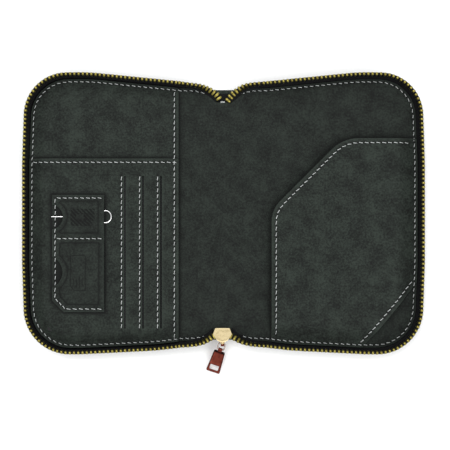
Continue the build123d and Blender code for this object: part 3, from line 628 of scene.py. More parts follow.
def metal(name, colour, dull, roughness, streak=(1.0, 1.0, 1.0)):
    """Plated metal with uneven polish, tarnish and faint scratches, darkened by the seam attribute as painted
    shade.
    """
    n = Nodes(name)
    mm = n.solid(streak)
    fine = n.noise(5.0, 4.0, 0.7, vector=mm)
    tone = n.blend((n.noise(0.5, 4.0, 0.6, vector=mm), 0.65), (fine, 0.35))
    base = n.ramp(tone, [(0.32, dull), (0.52, colour), (0.75, tint(colour, 1.12))])
    # Painted shade: the seam attribute darkens the pull tab's top band and rims.
    base = n.mix(n.attribute("seam"), base, (0.004, 0.003, 0.003))
    rough = n.math("MULTIPLY_ADD", fine, POLISH_SPREAD, roughness - POLISH_SPREAD / 2)
    return n.finish(base, rough, n.bump(fine, 0.12, 0.00006), metallic=1.0)


def thread(name, colour):
    """Two-ply sewing thread: fibres wind round its length."""
    n = Nodes(name)
    strands = n.wave(2.2, "X", 1.0, vector=n.turned(0.6))
    fuzz = n.noise(7.0, 3.0, 0.7)
    tone = n.blend((strands, 0.3), (fuzz, 0.3), (n.noise(0.35, 2.0), 0.4))
    base = n.ramp(tone, [(0.25, tint(colour, 0.55)), (0.5, tint(colour, 0.9)), (0.75, tint(colour, 1.2))])
    rough = n.math("MULTIPLY_ADD", fuzz, 0.2, 0.5)
    return n.finish(base, rough, n.bump(strands, 0.5, 0.00008), specular=0.35, sheen=(0.15, 0.5))


def board(name, colour):
    """Pressed board or felt, with fibres and darker specks."""
    n = Nodes(name)
    mm = n.solid()
    fibre = n.noise(1.2, 5.0, 0.75, vector=mm)
    base = n.ramp(fibre, [(0.3, tint(colour, 0.7)), (0.55, colour), (0.8, tint(colour, 1.25))])
    speck = n.math("LESS_THAN", n.cells(0.8, "F1", vector=mm), 0.12)
    base = n.mix(speck, base, tint(colour, 0.5))
    rough = n.math("MULTIPLY_ADD", fibre, 0.2, 0.75)
    return n.finish(base, rough, n.bump(fibre, 0.4, 0.0002), specular=0.2)


LEATHER = (0.0165, 0.0222, 0.0176)
RECIPES = {
    "outer_leather": (leather, tint(LEATHER, 0.75)),
    "lining_leather": (leather, tint(LEATHER, 0.52)),
    "pocket_leather": (leather, tint(LEATHER, 0.66), 0.55),
    "pocket_fabric": (cloth, (0.02, 0.02, 0.021), 0.5),
    "stiffener": (board, (0.33, 0.31, 0.28)),
    "interlining": (board, (0.28, 0.28, 0.27)),
    "zip_tape": (tape, (0.006, 0.006, 0.0065)),
    "zip_brass": (metal, (0.26, 0.22, 0.054), (0.12, 0.088, 0.018), 0.28),
    "slider_gold": (metal, (0.84, 0.69, 0.40), (0.52, 0.40, 0.2), 0.32),
    "pull_copper": (metal, (0.17, 0.038, 0.025), (0.085, 0.018, 0.013), 0.33),
    "link_nickel": (metal, (0.46, 0.38, 0.34), (0.26, 0.2, 0.17), 0.24),
    "pin_steel": (metal, (0.80, 0.80, 0.79), (0.6, 0.6, 0.6), 0.22, (0.2, 1.0, 1.0)),
    "thread": (thread, (0.52, 0.54, 0.53)),
}
MATERIALS = {slot: make(slot, *values) for slot, (make, *values) in RECIPES.items()}


def dress(obj, slot, body=None, replaces=(), blend=None):
    """Material, slot, body and the CAD nodes that a piece stands for."""
    obj.data.materials.clear()
    obj.data.materials.append(MATERIALS[slot])
    if replaces:
        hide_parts(*replaces)
    if blend:
        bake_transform(obj)
    else:
        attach(obj, body)
    return obj


# ---------------------------------------------------------------- plan of the wallet

SIDES = ("right", 1), ("left", -1)
# Corners of the chain line as (x, y, radius), on the right half.
UPPER_CORNERS = [(8.0, 70.1, 12.0), (17.0, 72.7, 20.0), (76.0, 78.6, 120.0)]
UPPER_CORNERS += [(111.1, 78.2, 23.5), (112.8, 28.0, 250.0)]
LOWER_CORNERS = [(8.0, -72.2, 12.0), (17.0, -74.3, 20.0), (38.0, -76.8, 120.0)]
LOWER_CORNERS += [(80.0, -78.9, 150.0), (111.1, -79.0, 25.0), (112.8, -28.0, 250.0)]
outline_corners = UPPER_CORNERS[::-1] + [(-x, y, r) for x, y, r in UPPER_CORNERS]
outline_corners += [(-x, y, r) for x, y, r in LOWER_CORNERS[::-1]] + LOWER_CORNERS
OUTLINE = rounded_path(outline_corners, 1.6)
OUTLINE_NORMALS = normals_2d(OUTLINE)


def outline(inset, ease=0.0):
    """The wallet's plan outline, moved inwards from the chain line, and by ease less beside the spine."""
    by_spine = 1 - smooth((np.abs(OUTLINE[:, 0]) - 12.0) / 14.0)
    return OUTLINE + OUTLINE_NORMALS * (inset - ease * by_spine)[:, None]


def inset_at(x, y):
    """How far inside the chain line a place is."""
    return nearest(np.column_stack([x, y]), OUTLINE, True)[0]


def ripple(x, y, amount):
    """The slight unevenness of a sheet that lies loose."""
    wave = np.sin(0.11 * x + 0.05 * y + 0.7) + np.sin(0.045 * x - 0.13 * y + 2.1)
    wave += 0.6 * np.sin(0.21 * x + 0.17 * y) + 0.5 * np.sin(0.27 * y - 0.09 * x + 1.3)
    return amount * wave / 2


COVER_INSET, LINING_INSET, BORDER_INSET = -0.35, 2.0, 3.6
SPINE_EASE, LINING_EASE = 1.15, 0.8
COVER_TOP, LINING_TOP = 1.0, 2.6
PANEL = 0.8  # thickness of the lining and of the pockets
STITCH_PITCH = 3.3
BESIDE = 0.5  # from a panel's edge to the groove, darkened as painted shadow, that it gives the sheet below
border_path, border_pitch = even(outline(BORDER_INSET, SPINE_EASE), STITCH_PITCH, closed=True)
border_line = Line(border_path, border_pitch, closed=True)

CASH_X, TICKET_Y = -25.6, 31.0
SLIT_XS, SLIT_TOP, SLIT_BOTTOM = (-56.0, -45.7, -35.5), 21.0, -65.6
# Heights of the pockets: sewn down at the rim, and risen over what they hold.
PASSPORT_RIM_Z, PASSPORT_Z = 3.4, 7.8
CASH_RIM_Z, CASH_RISE = 3.4, 1.4
TICKET_RIM_Z, TICKET_Z, TICKET_RISE = 4.2, 5.6, 1.3
PATCH_Z, PATCH_RISE = 7.95, 1.05


def lining_z(x, y):
    return LINING_TOP + ripple(x, y, 0.05) * smooth((inset_at(x, y) - 5) / 8)


def cash_z(x, y):
    return CASH_RIM_Z + CASH_RISE * smooth((inset_at(x, y) - 4.0) / 7.0)


def ticket_z(x, y):
    inner = TICKET_Z + TICKET_RISE * smooth((-29.2 - x) / 6.0)
    z = TICKET_RIM_Z + (inner - TICKET_RIM_Z) * smooth((inset_at(x, y) - 4.0) / 7.0)
    for slit_x in SLIT_XS:
        beside = smooth((SLIT_TOP + 2 - y) / 2.0) * smooth((y - SLIT_BOTTOM + 2) / 2.0)
        left, right = slit_x - x, x - slit_x
        z = z + 0.4 * beside * np.where(left >= 0, 1 - smooth((left - 2.9) / 0.9), 0)
        z = z + 0.12 * beside * np.where(right > 0, 1 - smooth(right / 3.0), 0)
    return z


def passport_z(x, y):
    rise = smooth((inset_at(x, y) - 4.4) / 10.0)
    return PASSPORT_RIM_Z + (PASSPORT_Z - PASSPORT_RIM_Z) * rise + ripple(x, y, 0.16) * rise


def seam(*points):
    """A stitching line through the points, and its pitch."""
    return even(points, STITCH_PITCH)


def edge_groove_and_shadow(path):
    """The groove that the edge of the panel above presses into a sheet, darkened as painted shadow under that
    edge.
    """
    return Line(path, depth=0.12, width=0.9, dark=0.8)


def lattice(x_range, y_range):
    """Points in straight rows and columns; a range is (start, end, step)."""
    return np.array([(x, y) for x in np.arange(*x_range) for y in np.arange(*y_range)])


# ---------------------------------------------------------------- cover, boards and lining

BLEND = 11.8, 7.2  # x where the sheets begin to bend, and where they lie on the spine
# Straight columns of points across the bend, for an even mesh where the sheets would fold.
BEND_GRID = lattice((0.9, 13.2, 0.82), (-73.0, 71.0, 2.4))
# The passport pocket's edge on the lining, where a groove with painted shadow lies.
PASSPORT_EDGE_SHADOW = [(26.8, -72.0, 0), (26.8, 2.0, 17.0), (67.3, 43.0, 22.0), (109.0, 43.0, 0)]
V_NOTCH = [(-11.0, 69.6, 0), (-8.6, 67.7, 3.0), (-4.4, 63.3, 3.5)]
V_NOTCH += [(4.6, 63.1, 3.5), (9.4, 67.7, 3.0), (12.2, 69.7, 0)]


def over_fold(half):
    """The blend of a sheet over one crease: the two bodies, and the x where it starts and ends."""
    return ("right_cover", "spine", *BLEND) if half > 0 else ("spine", "left_cover", -BLEND[1], -BLEND[0])


def lining_rim():
    """The lining's rim, with the notch that the top ends of the two chains lie in."""
    loop = outline(LINING_INSET, LINING_EASE)
    away = (loop[:, 1] < 0) | (loop[:, 0] > V_NOTCH[-1][0] + 0.5) | (loop[:, 0] < V_NOTCH[0][0] - 0.5)
    first = int(np.argmax(~away & np.roll(away, 1)))
    loop, away = np.roll(loop, -first, axis=0), np.roll(away, -first)
    notch = rounded_path(V_NOTCH, 0.9, closed=False)[::-1]
    return np.vstack([notch, loop[away]])


# Grooves with painted shadow under the edges of the passport and cash pockets.
LINING_EDGE_SHADOWS = {
    "right": edge_groove_and_shadow(rounded_path(PASSPORT_EDGE_SHADOW, 1.5, closed=False)),
    "left": edge_groove_and_shadow([(CASH_X + BESIDE, -72.0), (CASH_X + BESIDE, 71.0)]),
}
cover_rim = outline(COVER_INSET)
for side, half in SIDES:
    marks = [Line(np.roll(border_path, 7, axis=0), border_pitch, closed=True), LINING_EDGE_SHADOWS[side]]
    for part, name, slot, loop, thick, top, grid, lines in (
        ("outer_cover", f"cover_{side}", "outer_leather", cover_rim, COVER_TOP, level(COVER_TOP), 3.0, []),
        ("lining", f"lining_{side}_sheet", "lining_leather", lining_rim(), PANEL, lining_z, 2.6, marks),
    ):
        rim = densify(clip(loop, -half, 0, 0.0), 1.8)
        piece = sheet(name, rim, thick, top, lines=lines, cut_x=0.0, grid=grid, fine=BEND_GRID * (half, 1))
        nodes = [f"{part}_{side}"] + ([f"{part}_spine"] if half > 0 else [])
        dress(piece, slot, replaces=nodes, blend=over_fold(half))

HIDDEN = {"board_right": "stiffener", "board_left": "stiffener", "spine_interlining": "interlining"}
for node, slot in HIDDEN.items():
    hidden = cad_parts[node]
    hidden.data.materials.clear()
    hidden.data.materials.append(MATERIALS[slot])

# ---------------------------------------------------------------- passport pocket

PASSPORT_LEFT, PASSPORT_TOP_Y = 27.3, 42.5
# The slanted mouth's two corners, with their radii.
MOUTH_LOW, MOUTH_HIGH = (PASSPORT_LEFT, 2.0, 17.0), (67.8, PASSPORT_TOP_Y, 22.0)
CUT_UPPER, CUT_LOWER = np.array([112.0, -37.6]), np.array([75.7, -81.0])
cut_along = unit(CUT_LOWER - CUT_UPPER)
cut_normal = unit(np.array([CUT_UPPER[1] - CUT_LOWER[1], -(CUT_UPPER[0] - CUT_LOWER[0])]))


def passport_loop():
    """The pocket's rim with sharp corners."""
    loop = outline(LINING_INSET)
    loop = clip(loop, -1, 0, -PASSPORT_LEFT)
    loop = clip(loop, 0, 1, PASSPORT_TOP_Y)
    loop = clip(loop, -1, 1, MOUTH_LOW[1] - MOUTH_LOW[0])
    return clip(loop, *cut_normal, float(cut_normal @ CUT_UPPER))


def round_corners(loop, corners, small=1.2):
    """Radii for the corners listed as (x, y, radius), and a small one at any other sharp corner."""
    out = []
    count = len(loop)
    for i in range(count):
        x, y = loop[i]
        radius = 0.0
        a, b = unit(loop[i] - loop[i - 1]), unit(loop[(i + 1) % count] - loop[i])
        if a @ b < 0.95:
            radius = small
            for cx, cy, r in corners:
                if math.hypot(cx - x, cy - y) < 5:
                    radius = r
        out.append((x, y, radius))
    return out


passport_rim = rounded_path(round_corners(passport_loop(), [MOUTH_LOW, MOUTH_HIGH]), 1.4)
HEM = 2.6  # from a free edge to its stitches
HEM_SHIFT = HEM * (2**0.5 - 1)
hem = [
    (PASSPORT_LEFT + HEM, -73.0, 0),
    (PASSPORT_LEFT + HEM, MOUTH_LOW[1] - HEM_SHIFT, MOUTH_LOW[2] - HEM),
    (MOUTH_HIGH[0] + HEM_SHIFT, PASSPORT_TOP_Y - HEM, MOUTH_HIGH[2] - HEM),
    (109.2, PASSPORT_TOP_Y - HEM, 0),
]
cut_hem = CUT_UPPER - cut_normal * HEM
passport_rows = [
    even(rounded_path(hem, 1.0, closed=False), STITCH_PITCH),
    seam(cut_hem + cut_along * 3.6, cut_hem + cut_along * 50.0),
]
lines = [Line(*row) for row in passport_rows] + [border_line]
passport = sheet("passport_pocket_sheet", passport_rim, PANEL, passport_z, lines=lines)
dress(passport, "pocket_leather", "right_cover", ["passport_pocket"])

# ---------------------------------------------------------------- cash, ticket and card pockets

left_half = clip(outline(LINING_INSET), 1, 0, CASH_X)
rim = rounded_path(round_corners(left_half, [], 1.0), 1.6)
cash_row = seam((-28.0, -71.6), (-28.0, 69.6))
# The ticket pocket's edge on the cash pocket: a groove with painted shadow.
ticket_edge_shadow = [(-110.0, TICKET_Y + BESIDE), (CASH_X - BESIDE, TICKET_Y + BESIDE)]
lines = [Line(*cash_row), border_line, edge_groove_and_shadow(ticket_edge_shadow)]
cash = sheet("cash_pocket_sheet", rim, PANEL, cash_z, lines=lines, grid=2.6)
dress(cash, "pocket_leather", "left_cover", ["cash_pocket"])

PATCH_LEFT, PATCH_RIGHT, PATCH_TOP, PATCH_BOTTOM, PATCH_CHAMFER = -97.3, -67.7, 10.3, -56.2, 6.7
PATCH_MIDDLE = -14.5
NOTCHES = (-97.8, -2.2, 6.85), (-100.5, -33.5, 9.3)
# Just outside the patch: a groove darkened as painted shadow under its edge.
patch_edge_shadow = [
    (PATCH_RIGHT + BESIDE, PATCH_TOP + BESIDE),
    (PATCH_LEFT - BESIDE, PATCH_TOP + BESIDE),
    (PATCH_LEFT - BESIDE, PATCH_BOTTOM + PATCH_CHAMFER - 0.3),
    (PATCH_LEFT + PATCH_CHAMFER - 0.3, PATCH_BOTTOM - BESIDE),
    (PATCH_RIGHT + BESIDE, PATCH_BOTTOM - BESIDE),
]


def ticket_top(x, y):
    """The ticket pocket's height, and painted shade in the patch's finger notches."""
    dark = np.zeros(len(x))
    for cx, cy, r in NOTCHES:
        # Painted shade in the recess of each notch.
        inner = smooth((r + 0.4 - np.hypot(x - cx, y - cy)) / 0.8) * smooth((x - PATCH_LEFT - 0.4) / 1.0)
        dark = np.maximum(dark, 0.9 * inner)
    return ticket_z(x, y), dark


rim = rounded_path(round_corners(clip(left_half, 0, 1, TICKET_Y), [], 1.0), 1.6)
SLIT_HALF, SLIT_SEAM = 0.45, 1.9
slits, slit_rows = [], []
for slit_x in SLIT_XS:
    low_x, high_x, seam_x = slit_x - SLIT_HALF, slit_x + SLIT_HALF, slit_x - SLIT_SEAM
    corners = [(low_x, SLIT_BOTTOM), (high_x, SLIT_BOTTOM), (high_x, SLIT_TOP), (low_x, SLIT_TOP)]
    slits.append(rounded_path([(*corner, 0.4) for corner in corners], 1.2))
    slit_rows.append(seam((seam_x, SLIT_TOP + 0.3), (seam_x, SLIT_BOTTOM - 0.3)))
ticket_row = seam((-109.0, TICKET_Y - 2.2), (CASH_X - 0.6, TICKET_Y - 2.2))
lines = [Line(*row) for row in (*slit_rows, ticket_row, cash_row)] + [border_line]
# Painted shadow round the patch, in a shallow groove.
lines.append(Line(densify(patch_edge_shadow, 1.5), depth=0.15, width=0.9, closed=True))
notch_grid = lattice((-98.2, -89.6, 0.75), (-44.0, 6.0, 0.75))
ticket = sheet("ticket_pocket_sheet", rim, PANEL, ticket_top, holes=slits, lines=lines, fine=notch_grid)
dress(ticket, "pocket_leather", "left_cover", ["ticket_pocket"])

for number in range(1, len(SLIT_XS) + 1):
    low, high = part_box(f"card_pocket_{number}")
    x0, y0, x1, y1 = low[0] / MM, low[1] / MM, high[0] / MM, high[1] / MM
    rim = rounded_path([(x0, y0, 1.5), (x1, y0, 1.5), (x1, y1, 1.5), (x0, y1, 1.5)], 2.0)
    card = sheet(f"card_pocket_{number}_cloth", rim, 0.3, level(high[2] / MM), grid=6.0)
    dress(card, "pocket_fabric", "left_cover", [f"card_pocket_{number}"])

# ---------------------------------------------------------------- patch for the small cards


ARC_STEP = 0.7


def arc(cx, cy, r, x_limit):
    """The part right of x_limit of a circle, from its top end to its bottom end."""
    half = math.acos((x_limit - cx) / r)
    angles = np.linspace(half, -half, int(2 * half * r / ARC_STEP))
    return [(cx + r * math.cos(a), cy + r * math.sin(a)) for a in angles]


patch_rim = [(PATCH_RIGHT, PATCH_TOP), (PATCH_LEFT, PATCH_TOP)]
for notch in NOTCHES:
    patch_rim += arc(*notch, PATCH_LEFT)
patch_rim += [(PATCH_LEFT, PATCH_BOTTOM + PATCH_CHAMFER), (PATCH_LEFT + PATCH_CHAMFER, PATCH_BOTTOM)]
patch_rim = densify(patch_rim + [(PATCH_RIGHT, PATCH_BOTTOM)], 1.0)
PATCH_HEM = 1.8
STITCH_X, SEAM_TOP, SEAM_BOTTOM = PATCH_LEFT + PATCH_HEM, PATCH_TOP - PATCH_HEM, PATCH_BOTTOM + PATCH_HEM
SEAM_RIGHT, SEAM_CHAMFER = PATCH_RIGHT - 0.9, PATCH_CHAMFER - 0.8
BAR_PITCH = 2.3


def patch_z(x, y):
    """The patch's height over its two cards with the pressed card picture, and the dark of that picture."""
    gap = np.minimum(SEAM_TOP - y, y - SEAM_BOTTOM)
    gap = np.minimum(gap, np.abs(y - PATCH_MIDDLE))
    gap = np.minimum(gap, x - STITCH_X)
    chamfer = (x - STITCH_X + y - SEAM_BOTTOM - PATCH_CHAMFER + 1.0) / 2**0.5
    gap = np.minimum(gap, chamfer)
    z = PATCH_Z + PATCH_RISE * smooth(gap / 4.5)
    hatch = (x > -86.6) & (x < -73.0) & (y < 2.4) & (y > -7.3) & ((x + 73.0) - (y + 7.3) < -3.2)
    square = (x > -83.4) & (x < -79.0) & (y < -0.6) & (y > -3.9)
    bars = np.clip(0.5 + 0.8 * np.cos(2 * math.pi * (x + y) / BAR_PITCH), 0, 1)
    pressed = np.where(hatch & ~square, 0.1 + 0.25 * bars, 0.0)
    dark = np.where(hatch & ~square, 0.3 + 0.7 * bars, 0.22)
    return z - pressed, dark


# The grooves round the two cards, the picture of a card and its contacts.
groove_one = [(-71.0, 6.8), (-92.2, 6.8), *arc(-97.8, -2.2, 9.4, -93.2), (-92.2, -11.4), (-71.0, -11.4)]
groove_two = [(-70.6, -16.9), (-92.6, -16.9), *arc(-100.5, -33.5, 12.1, -93.0)]
groove_two += [(-93.0, -46.8), (-88.4, -51.9), (-70.6, -51.9)]
card_icon = [(-78.2, -24.0, 0.8), (-78.2, -44.0, 0.8), (-84.2, -44.0, 0.8)]
card_icon += [(-86.6, -41.6, 0.6), (-86.6, -24.0, 0.8)]
left_low, bottom_left = (STITCH_X, SEAM_BOTTOM + SEAM_CHAMFER), (STITCH_X + SEAM_CHAMFER, SEAM_BOTTOM)
patch_rows = [
    seam((SEAM_RIGHT, SEAM_TOP), (STITCH_X + 0.5, SEAM_TOP)),
    seam((SEAM_RIGHT, PATCH_MIDDLE), (STITCH_X + 0.5, PATCH_MIDDLE)),
    seam((STITCH_X, SEAM_TOP), left_low),
    seam(left_low, bottom_left),
    seam(bottom_left, (SEAM_RIGHT, SEAM_BOTTOM)),
]
# Every line on the patch is darkened in its groove and stitch holes as painted shade.
lines = [Line(path, pitch, 0.2, 0.36) for path, pitch in patch_rows]
for groove in (groove_one, groove_two):
    lines.append(Line(densify(groove, 1.0), depth=0.45, width=0.5, closed=True))
lines.append(Line(rounded_path(card_icon, 0.8), depth=0.25, width=0.32, closed=True, dark=0.9))
for k in range(4):
    contact_x = -85.0 + 1.7 * k
    lines.append(Line([(contact_x, -40.8), (contact_x, -37.6)], depth=0.25, width=0.28))
icon_grid = lattice((-87.0, -72.6, 0.31), (-7.7, 2.8, 0.31))
patch = sheet("sim_card_patch_sheet", patch_rim, 0.85, patch_z, lines=lines, grid=1.5, fine=icon_grid)
dress(patch, "pocket_leather", "left_cover", ["sim_card_patch"])

# The eject pin: one steel wire, straight, then bent round into a loop for the finger.
low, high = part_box("sim_pin")
PIN_Y, PIN_Z, PIN_R = -2.1, (low[2] + high[2]) / 2 / MM, 0.34
LOOP_X, LOOP_LONG, LOOP_WIDE = -66.9, 3.25, 3.9 * 0.88
angles = np.linspace(math.pi, math.pi + 2 * math.pi * 0.985, 40)
loop = [(LOOP_X + LOOP_LONG * math.cos(a), PIN_Y + LOOP_WIDE * math.sin(a), PIN_Z) for a in angles]
shaft = [(x, PIN_Y, PIN_Z) for x in np.linspace(-97.5, -71.6, 20)]
shaft += [(-70.7, PIN_Y - 0.1, PIN_Z), (-70.15, PIN_Y - 0.75, PIN_Z)]
dress(rod("sim_pin_wire", shaft + loop[3:], circle(PIN_R, 14), sharp=60), "pin_steel", "pin", ["sim_pin"])

# ---------------------------------------------------------------- zip

TOOTH_PITCH, CHAIN_Z = 2.4, 10.4
TOOTH_LEVELS = [
    # height from the middle, half width across the tape, half thickness along it
    (-1.7, 0.82, 0.60),
    (-1.58, 1.02, 0.72),
    (-0.3, 1.08, 0.78),
    (0.35, 1.06, 0.78),
    (0.85, 0.98, 0.74),
    (1.3, 0.86, 0.68),
    (1.58, 0.66, 0.54),
    (1.7, 0.38, 0.32),
]
TOOTH_SIDES, NIB_SIDES = 12, 8
# The nib: its foot's height on the tooth and its distance along the chain, and how far the tip stands out.
NIB_UP, NIB_OUT, NIB_TIP = 0.85, 0.6, 0.42
NIB_LEVELS = (0.3, 0.24, 0.28), (0.0, 0.34, 0.4)  # distance out, half height, half width


def tooth(along, across, up, centre):
    """One metal tooth as points and faces: legs round the tape and a rounded head with a nib."""
    angles = np.arange(TOOTH_SIDES) * 2 * math.pi / TOOTH_SIDES + math.pi / TOOTH_SIDES
    cos, sin = np.cos(angles), np.sin(angles)
    rx, ry = np.sign(cos) * np.abs(cos) ** 0.5, np.sign(sin) * np.abs(sin) ** 0.5
    verts = np.vstack(
        [
            centre + up * z + np.outer(rx * half_long, along) + np.outer(ry * half_wide, across)
            for z, half_wide, half_long in TOOTH_LEVELS
        ]
    )
    faces = ring_faces(len(TOOTH_LEVELS), TOOTH_SIDES)
    nib_at = centre + up * NIB_UP + along * NIB_OUT
    turns = np.arange(NIB_SIDES) * math.pi / 4
    nib = [nib_at + along * NIB_TIP]
    for out, tall, wide in NIB_LEVELS:
        nib += [nib_at + along * out + up * tall * math.sin(t) + across * wide * math.cos(t) for t in turns]
    pairs = [(1 + j, 1 + (j + 1) % NIB_SIDES) for j in range(NIB_SIDES)]
    nib_faces = [(0, a, b) for a, b in pairs]
    nib_faces += [(a, a + NIB_SIDES, b + NIB_SIDES, b) for a, b in pairs]
    nib_faces += [tuple(range(2 * NIB_SIDES, NIB_SIDES, -1))]
    if np.dot(np.cross(up, across), along) < 0:
        nib_faces = [f[::-1] for f in nib_faces]
    if np.dot(np.cross(along, across), up) < 0:
        faces = [f[::-1] for f in faces]
    return join([(verts, faces), (np.array(nib), nib_faces)])


def chain(name, places, **looks):
    """Teeth at (centre, along, up) places."""
    parts = []
    for centre, along, up in places:
        along = unit(np.asarray(along, float))
        up = unit(up - along * (along @ up))
        parts.append(tooth(along, np.cross(up, along), up, np.asarray(centre, float)))
    dress(sharpen(new_object(name, *join(parts)), 70), "zip_brass", **looks)


# The standing tape: distance in from the chain line, and height.
TAPE_PROFILE = [(5.5, 1.4), (3.6, 1.4), (2.5, 1.45), (1.75, 1.65), (1.2, 2.1), (0.8, 3.0)]
TAPE_PROFILE += [(0.45, 4.4), (0.18, 6.2), (0.03, 8.0), (0.0, 9.4), (0.0, 10.9)]
BEAD_Z, BEAD_SIDES = 10.7, 10
RIGID_X = 24.3  # from here on the chain stands up on its cover
fine_outline = rounded_path(outline_corners, 0.8)
fine_normals = normals_2d(fine_outline)

for side, half in SIDES:
    body = f"{side}_cover"
    first = int(np.argmin(half * fine_outline[:, 0]))
    loop, loop_normals = np.roll(fine_outline, -first, axis=0), np.roll(fine_normals, -first, axis=0)
    keep = half * loop[:, 0] > RIGID_X
    line, norm = loop[keep], loop_normals[keep]
    grid = [[(*(p + n * inset), z) for inset, z in TAPE_PROFILE] for p, n in zip(line, norm)]
    dress(thick_grid(f"zip_tape_{side}", grid, 0.62), "zip_tape", body, [f"zipper_tape_{side}"])
    bead_path = [(x, y, BEAD_Z) for x, y in line]
    dress(rod(f"zip_bead_{side}", bead_path, circle(0.85, BEAD_SIDES)), "zip_tape", body)
    middles, _ = even(line[3:-3], TOOTH_PITCH)
    tangents = np.gradient(middles, axis=0)
    places = [((x, y, CHAIN_Z), (tx, ty, 0), (0, 0, 1.0)) for (x, y), (tx, ty) in zip(middles, tangents)]
    chain(f"zip_teeth_{side}", places, body=body, replaces=[f"zipper_teeth_{side}"])

# Flexible chain ends: tooth centre x, y, z, lean from upright, and x, y, z where the tape leaves the leather.
TOP_RIGHT = [
    (24.9, 73.5, 10.4, 0, 24.9, 71.4, 1.6),
    (20.0, 73.1, 10.1, 4, 20.0, 71.2, 1.6),
    (16.0, 72.7, 9.2, 12, 16.0, 70.9, 1.5),
    (12.7, 72.1, 8.0, 25, 13.4, 70.0, 1.5),
    (10.4, 71.2, 7.0, 40, 11.9, 68.9, 1.5),
    (8.7, 70.2, 6.2, 54, 10.5, 67.6, 1.5),
    (7.0, 69.0, 5.4, 66, 9.0, 66.2, 1.5),
    (5.3, 67.6, 4.7, 76, 7.5, 64.6, 1.5),
    (3.8, 66.0, 4.2, 83, 5.8, 63.3, 1.5),
    (2.5, 64.3, 4.0, 86, 4.2, 62.5, 1.5),
]
TOP_LEFT = [
    (24.9, 73.5, 10.4, 0, 24.9, 71.4, 1.6),
    (20.0, 72.8, 10.1, 4, 20.0, 71.0, 1.6),
    (16.0, 72.3, 9.2, 12, 16.0, 70.6, 1.5),
    (12.7, 71.7, 8.0, 25, 12.9, 69.6, 1.5),
    (10.6, 71.0, 7.0, 40, 11.2, 68.6, 1.5),
    (8.7, 70.3, 6.2, 54, 9.9, 67.6, 1.5),
    (6.9, 69.4, 5.4, 66, 8.5, 66.4, 1.5),
    (5.1, 68.3, 4.7, 76, 7.0, 65.0, 1.5),
    (3.7, 67.1, 4.2, 83, 5.6, 63.9, 1.5),
    (2.6, 65.4, 4.0, 86, 4.4, 62.7, 1.5),
]
BOTTOM_END = [
    (24.9, -75.2, 10.4, 0, 24.9, -73.0, 1.6),
    (21.0, -74.9, 10.4, 6, 21.0, -72.6, 1.6),
    (17.6, -74.5, 10.4, 14, 17.6, -72.2, 1.6),
    (15.3, -74.15, 10.35, 20, 15.3, -71.8, 1.6),
    (13.4, -73.7, 10.2, 27, 13.5, -71.4, 1.7),
    (11.5, -73.1, 10.0, 34, 11.8, -70.9, 2.2),
    (9.6, -72.3, 9.6, 44, 10.4, -70.4, 2.8),
    (7.9, -71.4, 9.1, 54, 8.7, -69.4, 2.95),
    (6.2, -70.5, 8.6, 62, 7.0, -67.9, 2.95),
    (4.9, -69.9, 8.2, 66, 5.6, -66.5, 2.95),
]


def stations(table, spacing):
    """The table's rows at an even spacing along the chain, by a smooth curve through them."""
    lengths = run_lengths(table[:, :3])
    count = max(2, round(lengths[-1] / spacing))
    out = []
    for s in np.linspace(0, lengths[-1], count + 1):
        i = min(len(lengths) - 2, max(0, int(np.searchsorted(lengths, s, side="right")) - 1))
        t = (s - lengths[i]) / (lengths[i + 1] - lengths[i])
        p0, p1, p2, p3 = (table[min(len(table) - 1, max(0, k))] for k in (i - 1, i, i + 1, i + 2))
        square, cube = 2 * p0 - 5 * p1 + 4 * p2 - p3, 3 * p1 - p0 - 3 * p2 + p3
        out.append(0.5 * (2 * p1 + (p2 - p0) * t + square * t**2 + cube * t**3))
    return np.array(out)


def end_places(rows, half, top):
    """(centre, along, up, foot) for each station, on the right or mirrored to the left."""
    centres = rows[:, :3].copy()
    feet = rows[:, 4:7].copy()
    if not top:
        shift = -0.6 * (1 - smooth((centres[:, 0] - 4) / 12)) * half
        centres[:, 0] += shift
        feet[:, 0] += shift
    along = np.gradient(centres, axis=0)
    along[:, 2] *= 0.5
    mirror = np.array([half, 1, 1])
    result = []
    for c, t, lean, f in zip(centres, along, np.radians(rows[:, 3]), feet):
        t = unit(t)
        outward = unit(np.array([t[1], -t[0], 0.0])) * (1 if top else -1)
        up = math.cos(lean) * np.array([0, 0, 1.0]) + math.sin(lean) * outward
        result.append((c * mirror, t * mirror, up * mirror, f * mirror))
    return result


def end_section(centre, up, foot):
    """The tape's section at one station: from the leather's foot by a soft bend up to the chain."""
    outside = np.sign(centre[1])
    share = smooth((22 - abs(centre[0])) / 9.0)
    rigid = np.array([(centre[0], centre[1] - outside * inset, z) for inset, z in TAPE_PROFILE])
    base = centre - up * 1.1
    inner = foot + np.array([0, -outside * 1.0, -0.05])
    middle = (foot * 0.55 + base * 0.45) - up * np.linalg.norm(base - foot) * 0.16
    k = np.linspace(0, 1, 8)[:, None]
    curve = (1 - k) ** 2 * foot + 2 * k * (1 - k) * middle + k**2 * base
    soft = np.vstack([[inner], curve, [centre - up * 0.4], [centre + up * 0.5]])
    return rigid * (1 - share) + soft * share


